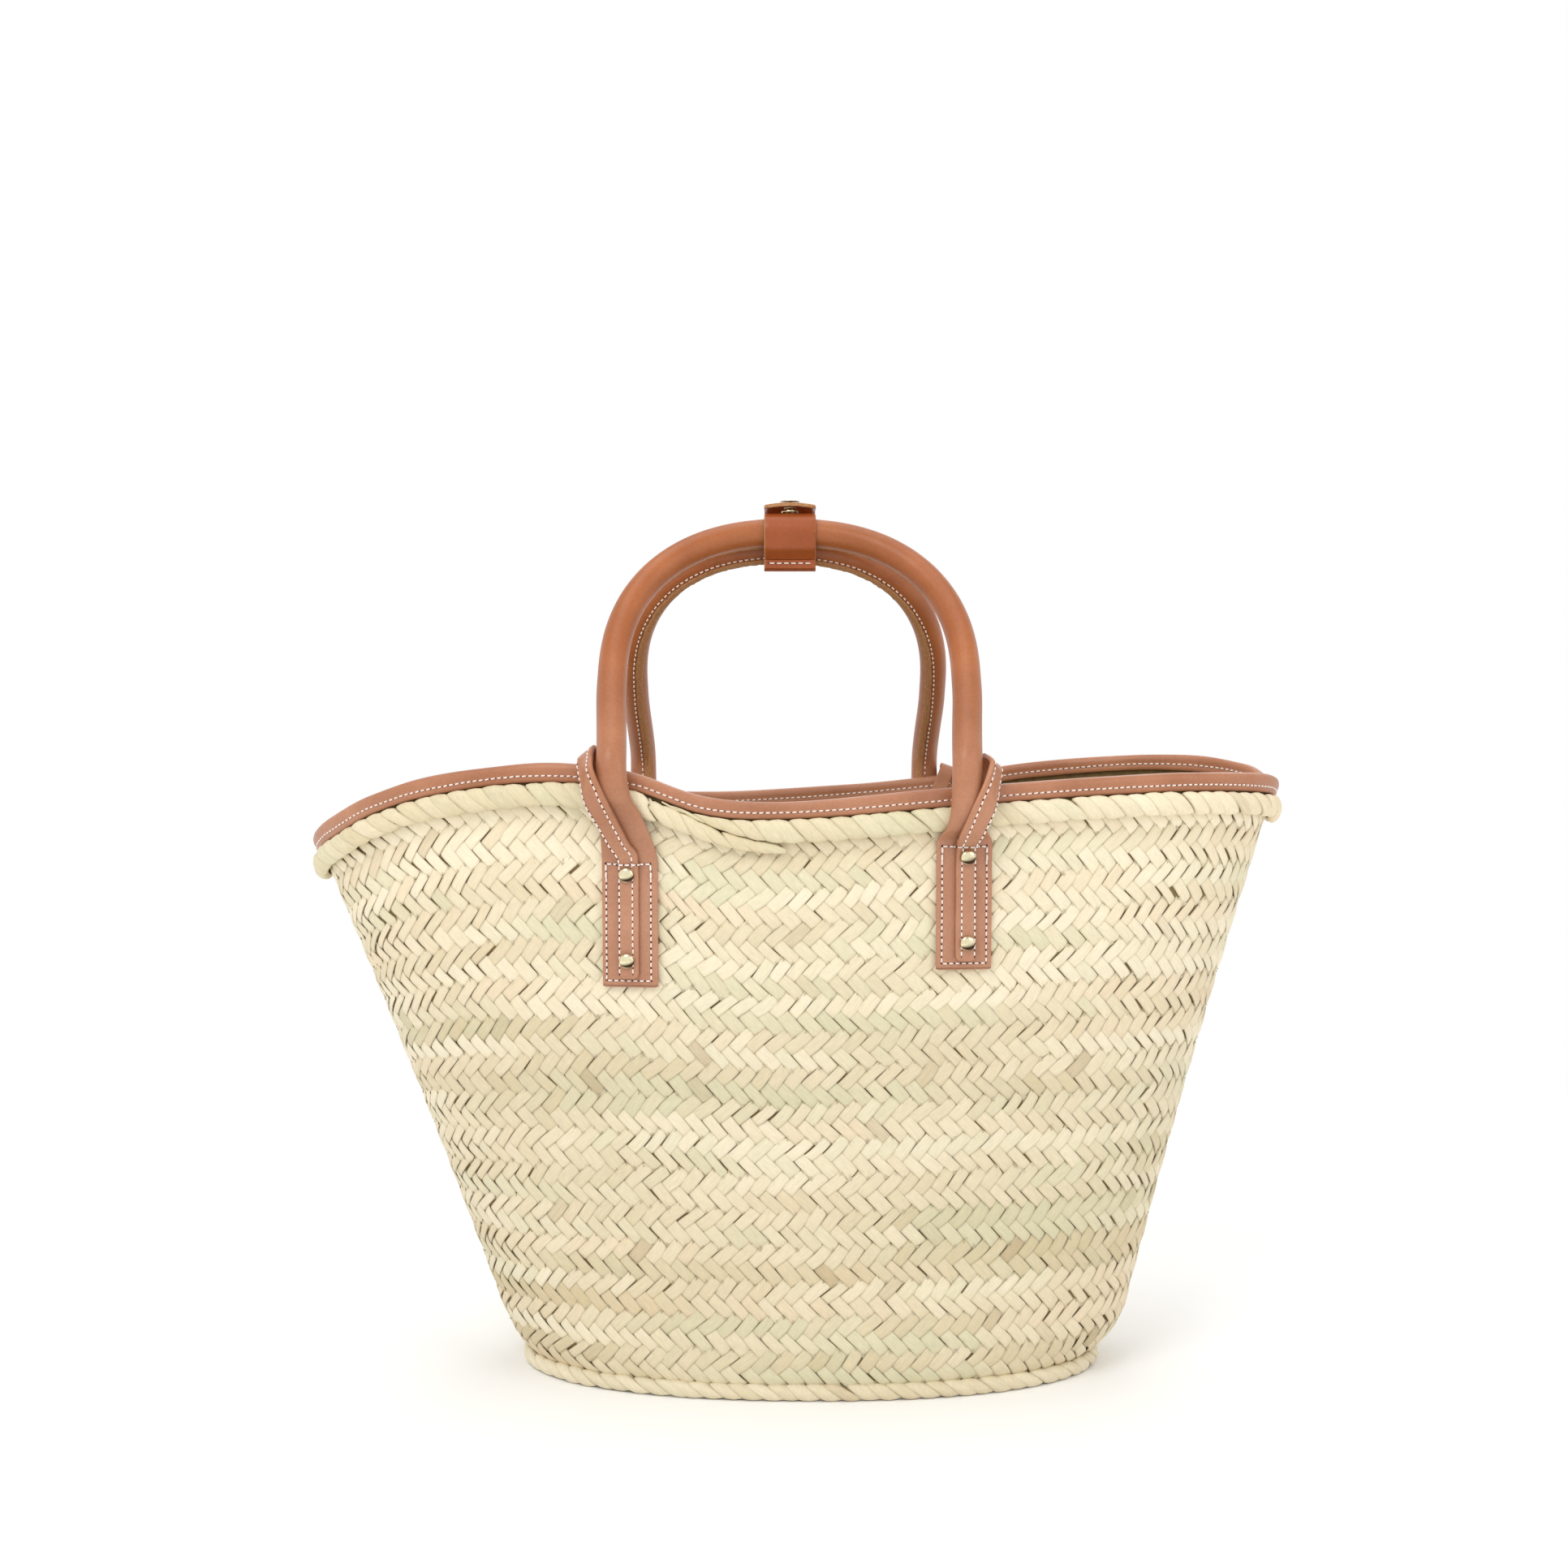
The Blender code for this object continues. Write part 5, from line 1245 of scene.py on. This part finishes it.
def strip_object(name, grid, out, thickness):
    """A leather strip on a grid of points, thickened along `out`, with soft cut edges."""
    columns = grid.shape[1]
    along_b = unit(grid[:, -1] - grid[:, 0])
    inset = thickness * 0.30
    # The edge's profile, as (share of the inset, share of the thickness).
    edge = [(0.0, 0.0), (0.0, 0.55), (0.4, 0.9)]
    rings = [
        grid[:, 0] + along_b * inset * push + out[:, 0] * thickness * lift for push, lift in edge
    ]
    top = grid + out * thickness
    low, high = top[:, :1] + along_b[:, None] * inset, top[:, -1:] - along_b[:, None] * inset
    f = np.linspace(0, 1, columns)[None, :, None]
    flat = mix(low, high, f)
    flat = flat + (top - mix(top[:, :1], top[:, -1:], f))
    rings += [flat[:, j] for j in range(columns)]
    rings += [
        grid[:, -1] - along_b * inset * push + out[:, -1] * thickness * lift
        for push, lift in reversed(edge)
    ]
    rings += [grid[:, j] for j in range(columns - 2, 0, -1)]
    ring = np.stack(rings, 1)
    count = ring.shape[1]
    middle = ring.mean(1, keepdims=True)
    caps = [mix(middle[:1], ring[:1], f) for f in (0.05, 0.5, 0.92)]
    tails = [mix(middle[-1:], ring[-1:], f) for f in (0.92, 0.5, 0.05)]
    ring = np.concatenate(caps + [ring] + tails)
    quads = grid_quads(len(ring), count, ring_columns=True)
    which = np.zeros((len(ring) - 1, count), int)
    which[:, [0, 1, 2, columns + 3, columns + 4]] = 1
    which[:3] = 1
    which[-3:] = 1
    piece = mesh_object(name, ring, quads, [TAN, EDGE], which=which.ravel())
    piece.data.update()
    normals, centres = (np.zeros(len(quads) * 3, np.float32) for _ in range(2))
    piece.data.polygons.foreach_get("normal", normals)
    piece.data.polygons.foreach_get("center", centres)
    from_middle = centres.reshape(-1, 3) - grid.reshape(-1, 3).mean(0)
    if (from_middle * normals.reshape(-1, 3)).sum() < 0:
        piece.data.flip_normals()
    return piece


def strap_edges(leg):
    """Outer and inner edges of a strap, as (x, z) from its foot on the tab up to its fold."""
    arch, end, tab_x, tab_top = LEGS[leg]
    side, centre_x, spread = arch[:3]
    tube_x = centre_x + end * (spread - LEG_DRAW)
    rim = float(rim_height(angle_at(tube_x, RIM_LEVEL, side)))
    foot = tab_top - TAB_LENGTH + STRAP_FOOT
    half = end * STRAP_WIDTH / 2
    outer_fold, inner_fold = (rim + rise for rise in FOLDS[leg])
    edges = []
    for x, top, fold, bend, path in (
        (tab_x + half, tab_top - OUTER_EDGE_CUT, outer_fold, OUTER_BEND, OUTER_PATH),
        (tab_x - half, tab_top, inner_fold, INNER_BEND, INNER_PATH),
    ):
        bend_x = mix(x, tube_x + end * bend[0], STRAP_BEND_SHARE)
        bend_z = mix(tab_top, fold - bend[1], STRAP_BEND_SHARE)
        edge = [(x, foot), (x, mix(foot, tab_top, 0.5)), (x, top), (bend_x, bend_z)]
        edge += [(tube_x + end * out, fold - drop) for out, drop in path]
        edges.append(np.array(edge))
    return edges


def softened(field, times):
    """Heights blurred along and across, nowhere lower than they were."""
    for _ in range(times):
        padded = np.pad(field, 1, mode="edge")
        near = sum(
            padded[1 + i : 1 + i + field.shape[0], 1 + j : 1 + j + field.shape[1]]
            for i in (-1, 0, 1)
            for j in (-1, 0, 1)
        )
        field = np.maximum(field, near / 9)
    return field


def strap_surface(leg, rows=20, columns=4):
    """The strap's under-side up its front, over the rim and down inside, with its front rows."""
    outer, inner = strap_edges(leg)
    side = LEGS[leg][0][0]
    f = np.linspace(0, 1, columns)[None, :, None]

    def place(t):
        at = mix(through(outer, t)[:, None], through(inner, t)[:, None], f)
        return at[..., 0], at[..., 1]

    x, z = place(np.linspace(0, 1, rows))
    near = [stack_reach(leg, x + dx, z) for dx in (-STRAP_SEARCH, 0.0, STRAP_SEARCH)]
    near += [stack_reach(leg, x, z + dz) for dz in (-STRAP_SEARCH, STRAP_SEARCH)]
    reach = softened(np.max(near, axis=0), 3)
    flat_top = LEGS[leg][3] - STRAP_FLAT_CUT
    most = GAP + TAB_LEATHER + np.maximum(0.0, z - flat_top) * STRAP_CLIMB
    front = face_point(x, z, side, np.minimum(reach, most) + GAP)
    inside = WALL + PATCH_LEATHER + 2 * GAP + STRAP_INSIDE_CLEAR
    over = [
        face_point(x[-1], z[-1] + rise, side, np.full(columns, offset))
        for offset, rise in OVER_RIM + ((-inside, STRAP_INSIDE_DROP),)
    ]
    x, z = place(np.linspace(1, 0, 10)[1:])
    down = face_point(x, z, side, np.full(x.shape, -inside))
    return np.concatenate([front, np.array(over), down]), rows


def finer(grid, rows, columns):
    """A grid of points read again at more rows and columns, smoothly."""
    old_rows, old_columns = grid.shape[:2]
    flat = through(grid.reshape(old_rows, -1), np.linspace(0, 1, rows))
    flat = flat.reshape(rows, old_columns, 3).transpose(1, 0, 2).reshape(old_columns, -1)
    wide = through(flat, np.linspace(0, 1, columns))
    return wide.reshape(columns, rows, 3).transpose(1, 0, 2)


def build_strap(leg, stitches):
    """One strap's leather, its foot's corners rounded, with a stitch row along each edge."""
    coarse, front_rows = strap_surface(leg)
    rows, columns, corner = 150, 9, 0.0022
    grid = finer(coarse, rows, columns)
    out = unit(np.cross(np.gradient(grid, axis=0), np.gradient(grid, axis=1)))
    if out[5, 4, 1] * LEGS[leg][0][0] < 0:
        out = -out
    back = np.clip(corner - along_path(grid[:, 4]), 0, corner)
    cut_off = corner - np.sqrt(np.clip(corner**2 - back**2, 0, None))
    narrow = 1 - cut_off / (STRAP_WIDTH / 2)
    grid = mix(grid.mean(1, keepdims=True), grid, narrow[:, None, None])
    piece = strip_object(leg + "_strap_leather", grid, out, STRAP_LEATHER)
    place_on(piece, "basket", "leather", leg + "_strap")
    top = grid + out * STRAP_LEATHER
    at = np.arange(3, int(rows * front_rows / len(coarse)) + 4)
    ease = smooth_step((at - 50) / 40.0)
    for across in (0.10 + 0 * ease, 1 - mix(0.30, 0.20, ease)):
        across = across * (columns - 1)
        j = np.clip(across.astype(int), 0, columns - 2)
        share = (across - j)[:, None]
        line, normal = (mix(of[at, j], of[at, j + 1], share) for of in (top, out))
        stitches.row(line - normal * STITCH_SINK, normal, size=FINE_THREAD)


def tab_front(leg, x, z):
    """Point and normal on the outer face of a tab."""
    side = LEGS[leg][0][0]
    reach = leg_reach(leg, x, z)
    return face_point(x, z, side, reach), wall_normal(angle_at(x, z, side), z)


def build_tab_stitches(leg, stitches):
    """The stitched rectangle on a tab; its top row crosses over the strap."""
    tab_x, tab_top = LEGS[leg][2:]
    low, high = tab_top - TAB_LENGTH + TAB_STITCH_FOOT, tab_top - TAB_STITCH_TOP
    narrow = TAB_HALF_WIDTH - TAB_STITCH_INSET
    left, right = tab_x - narrow - TAB_STITCH_SHIFT, tab_x + narrow - TAB_STITCH_SHIFT
    corners = [(left, high), (left, low), (right, low), (right, high)]
    for (x0, z0), (x1, z1) in zip(corners[:-1], corners[1:]):
        f = np.linspace(0, 1, 60)
        point, normal = tab_front(leg, mix(x0, x1, f), mix(z0, z1, f))
        stitches.row(point + normal * 0.00002, normal, size=0.00036)
    for x in (left, right):
        f = np.linspace(0, 1, 20)
        point, normal = tab_front(leg, np.full(20, x), mix(high, high - 0.0070, f))
        stitches.row(point + normal * 0.00022, normal, size=0.00044, gap=0.0004)
    # Over the strap, the row rides up onto its face.
    f = np.linspace(0, 1, 80)
    x = mix(left, right, f)
    point, normal = tab_front(leg, x, np.full(80, high))
    on_strap = smooth_step((STRAP_WIDTH / 2 + 0.0006 - np.abs(x - tab_x)) / 0.0006)
    lift = on_strap * (GAP + STRAP_LEATHER + 0.0011)
    stitches.row(point + normal * (lift + 0.00010)[:, None], normal, size=0.00040, gap=0.0005)


# ---------------------------------------------------------------- turned metal


def turned(name, profile, centres, directions, material, steps=32):
    """Round pieces of one profile of (radius, height), one at each place."""
    profile = np.array(profile, float)
    around = np.linspace(0, 2 * PI, steps, endpoint=False)
    points = []
    for centre, direction in zip(centres, directions):
        w = unit(direction)
        u = unit(np.cross(w, [1.0, 0.1, 0.0]))
        v = np.cross(w, u)
        ring = u * np.cos(around)[:, None] + v * np.sin(around)[:, None]
        points.append(
            np.asarray(centre)
            + ring[None] * profile[:, 0][:, None, None]
            + w * profile[:, 1][:, None, None]
        )
    count, rows = len(points), len(profile)
    quads = repeat_quads(grid_quads(rows, steps, ring_columns=True)[:, ::-1], count, rows * steps)
    return mesh_object(name, np.array(points), quads, [material])


def dome(radius, height, base, steps=9):
    a = np.linspace(0.02, 1, steps) * PI / 2
    return [(radius * np.sin(t), base + height * np.cos(t)) for t in a]


def build_rivets():
    """The domed caps outside and the lower ones inside, each kind as one mesh."""
    outside = GAP + TAB_LEATHER + GAP + STRAP_LEATHER + GAP + FRONT_CLEAR
    inside = WALL + PATCH_LEATHER + 2 * GAP + STRAP_LEATHER + GAP + BACK_CLEAR
    back = RIVET_RADIUS * 0.94
    front_profile = dome(RIVET_RADIUS, RIVET_HEIGHT - 0.0006, 0.0006)
    front_profile += [(RIVET_RADIUS + 0.00005, 0.0003), (RIVET_RADIUS - 0.0002, 0.0)]
    front_profile += [(0.0004, -0.0002)]
    back_profile = dome(back, 0.0008, 0.0005) + [(back, 0.0), (0.0004, -0.0001)]
    for name, ending, way, standoff, profile in (
        ("rivet_caps", "", 1, outside, front_profile),
        ("rivet_inner_caps", "_back", -1, inside, back_profile),
    ):
        places, directions, nodes = [], [], []
        for leg, (arch, end, tab_x, tab_top) in LEGS.items():
            for level, drop in (("upper", 0.0), ("lower", RIVET_SPACING)):
                x, z = tab_x + end * RIVET_SHIFT, tab_top - RIVET_INSET - drop
                angle = angle_at(x, z, arch[0])
                direction = way * wall_normal(angle, z)
                places.append(plan_point(angle, z) + direction * standoff)
                directions.append(direction)
                nodes.append(f"{leg}_{level}_rivet{ending}")
        piece = turned(name, profile, places, directions, GOLD)
        place_on(piece, "basket", "brass", *nodes)


# ---------------------------------------------------------------- keeper


def arc(centre, radius, start, stop, steps):
    a = np.radians(np.linspace(start, stop, steps + 1))
    return [(centre[0] + radius * c, centre[1] + radius * s) for c, s in zip(np.cos(a), np.sin(a))]


def keeper_strip(name, path, body, node, outward, crown=0.0, bend=None):
    """A keeper strip along a (y, z) path, thickened away from the handles."""
    path = np.array(path)
    length = along_path(path)
    path = at_length(path, length, np.linspace(0, length[-1], 48))
    u = np.linspace(-1, 1, 13)
    grid = np.zeros((len(path), len(u), 3))
    grid[..., 0] = HANDLE_CENTRE_X + KEEPER_SHIFT + KEEPER_HALF_WIDTH * u
    grid[..., 1] = path[:, :1]
    grid[..., 2] = path[:, 1:] - crown * u[None, :] ** 2
    step = np.gradient(path, axis=0)
    normal = unit(np.stack([0 * step[:, 0], -step[:, 1], step[:, 0]], 1))
    if (normal[len(path) // 2, 1:] * outward).sum() < 0:
        normal = -normal
    out = np.repeat(normal[:, None], len(u), axis=1)
    piece = strip_object(name, grid, out, KEEPER_LEATHER)
    piece.data.materials[0] = DEEP
    piece.data.materials[1] = RAW
    if bend is None:
        place_on(piece, body, "leather", node)
    else:
        bend_between(piece, ("front_handle", body), bend, node)
    return grid, out


def build_keeper():
    front = (-FRONT_ARCH[3], FRONT_ARCH[4])
    rear = (REAR_ARCH[3], REAR_ARCH[4])
    hug = TUBE_RADIUS + KEEPER_CLEAR
    wide = TUBE_RADIUS + WRAP_CLEAR
    panel = [(SEAM_Y + dy, SEAM_Z + dz) for dy, dz in PANEL_FOOT]
    panel += [(front[0] - hug + PANEL_BEND[0], front[1] - hug + PANEL_BEND[1])]
    panel += arc(front, hug, *PANEL_ARC, 8)
    grid, out = keeper_strip(
        "keeper_panel", panel, "front_handle", "keeper_front_panel", (-1, 0.3)
    )
    rows = Stitches()
    line = grid[4] + out[4] * KEEPER_LEATHER
    rows.row(line[1:-1], out[4][1:-1], pitch=0.0034, size=FINE_THREAD)
    rows.build("keeper_stitches", "front_handle")
    wrap = [(SEAM_Y + dy, SEAM_Z + dz) for dy, dz in WRAP_FOOT]
    wrap += arc(rear, wide, *WRAP_ARC, 8)
    wrap += [(rear[0] + wide, TIP_Z - WRAP_TOP_GAP)]
    # The real keeper's foot is sewn to the panel and its leather bends just behind the seam, at
    # these points.
    bend = [(HANDLE_CENTRE_X, SEAM_Y + dy, SEAM_Z) for dy in WRAP_BEND]
    keeper_strip("keeper_back", wrap, "keeper_back", "keeper_wrap", (0.7, -0.7), bend=bend)
    snap_y = front[0] + SNAP_FORWARD
    panel_top = front[1] + hug + KEEPER_LEATHER
    top_z = panel_top + SNAP_ROOM
    start = rear[0] + wide
    tip = [(start + dy, TIP_Z + dz) for dy, dz in TIP_FOOT]
    tip += [(start + dy, top_z + dz) for dy, dz in TIP_TURN]
    tip += [(snap_y + dy, top_z + dz) for dy, dz in TIP_END]
    keeper_strip("keeper_end", tip, "keeper_end", "keeper_tip", (0.1, 1.0), crown=TIP_CROWN)
    ring = SNAP_RADIUS * 0.80
    socket = [(SNAP_MOUTH, 0.0), (SNAP_MOUTH, 0.0012), (SNAP_MOUTH + 0.0003, 0.0015)]
    socket += [(ring - 0.0002, 0.0015), (ring + 0.0003, 0.0012), (ring + 0.0004, 0.0006)]
    socket += [(ring + 0.0004, 0.0), (SNAP_MOUTH, 0.0)]
    stud = [(0.0002, 0.0), (0.0030, 0.0), (0.0030, -0.0006), (0.0026, -0.0008)]
    stud += [(0.0012, -0.0008), (0.0011, -0.0012), (0.0008, -0.0016), (0.0002, -0.0017)]
    cap = dome(SNAP_RADIUS, 0.0004, 0.0002) + [(SNAP_RADIUS, 0.0), (0.0004, -0.0001)]
    for name, profile, z, body in (
        ("socket", socket, panel_top + GAP, "front_handle"),
        ("stud", stud, top_z - STUD_SEAT, "keeper_end"),
        ("cap", cap, top_z + KEEPER_LEATHER + CAP_SEAT, "keeper_end"),
    ):
        place = (HANDLE_CENTRE_X + KEEPER_SHIFT, snap_y, z)
        piece = turned("snap_" + name, profile, [place], [(0, 0, 1)], GOLD)
        if name == "stud":
            piece.data.flip_normals()
        place_on(piece, body, "brass", "keeper_snap_" + name)


# ---------------------------------------------------------------- carried-over CAD nodes


def finish_nodes():
    """Good materials for the CAD nodes that stay in view."""
    for name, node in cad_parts.items():
        if node.hide_render:
            continue
        material = CORD if name.endswith("_core") else TAN
        node.data.materials.clear()
        node.data.materials.append(material)


# ---------------------------------------------------------------- stage


def build_stage():
    bpy.ops.mesh.primitive_circle_add(
        vertices=96, radius=FLOOR_RADIUS, fill_type="NGON", location=(0, 0, FLOOR_LEVEL)
    )
    floor = bpy.context.object
    floor.name = "floor"
    n = Nodes("floor_paper")
    n.set(Base_Color=(0.985, 0.985, 0.985, 1.0), Roughness=0.9, Specular_IOR_Level=0.1)
    floor.data.materials.append(n.material)
    scene = bpy.context.scene
    world = bpy.data.worlds.new("studio")
    scene.world = world
    world.use_nodes = True
    background = world.node_tree.nodes["Background"]
    background.inputs[0].default_value = (1.0, 1.0, 1.0, 1.0)
    # The room is bright near the horizon and softer overhead.
    tree = world.node_tree
    ways = tree.nodes.new("ShaderNodeTexCoord")
    parts = tree.nodes.new("ShaderNodeSeparateXYZ")
    falls = tree.nodes.new("ShaderNodeMapRange")
    for source, target in (
        (ways.outputs["Generated"], parts.inputs[0]),
        (parts.outputs[2], falls.inputs[0]),
        (falls.outputs[0], background.inputs[1]),
    ):
        tree.links.new(source, target)
    for socket, number in zip(falls.inputs[1:5], ROOM_FALL):
        socket.default_value = number
    for name, place, aim, size, power in LIGHTS:
        light = bpy.data.lights.new(name, "AREA")
        light.shape = "DISK"
        light.size = size
        light.energy = power
        lamp = bpy.data.objects.new(name, light)
        scene.collection.objects.link(lamp)
        lamp.location = place
        lamp.rotation_euler = (Vector(aim) - Vector(place)).to_track_quat("-Z", "Y").to_euler()
    camera_data = bpy.data.cameras.new("camera")
    camera_data.sensor_width = 36.0
    camera_data.lens = CAMERA_LENS
    camera = bpy.data.objects.new("camera", camera_data)
    scene.collection.objects.link(camera)
    camera.location = CAMERA_PLACE
    camera.rotation_euler = (np.radians(90.0 - CAMERA_DIP), 0.0, 0.0)
    scene.camera = camera
    scene.view_settings.view_transform = "Standard"


build_stage()
build_wall()
build_base()
build_rope("rim_rope", rim_rope_path(), ROPE_HALF_THICK, ROPE_HALF_HEIGHT, RIM_WRAP)
build_rope("foot_rope", foot_rope_path(), FOOT_HALF_THICK, FOOT_HALF_HEIGHT, FOOT_WRAP)
build_binding()
build_handle(
    "front_handle_leather", FRONT_ARCH, ("front_left", "front_right"), "front_handle",
    ("front_handle_cover", "front_left_tab", "front_right_tab"),
)
build_handle(
    "rear_handle_leather", REAR_ARCH, ("rear_left", "rear_right"), "rear_handle",
    ("rear_handle_cover", "rear_left_tab", "rear_right_tab"),
)
leg_stitches = Stitches()
for leg_name in LEGS:
    build_strap(leg_name, leg_stitches)
    build_tab_stitches(leg_name, leg_stitches)
leg_stitches.build("tab_and_strap_stitches", "basket")
build_rivets()
build_keeper()
finish_nodes()
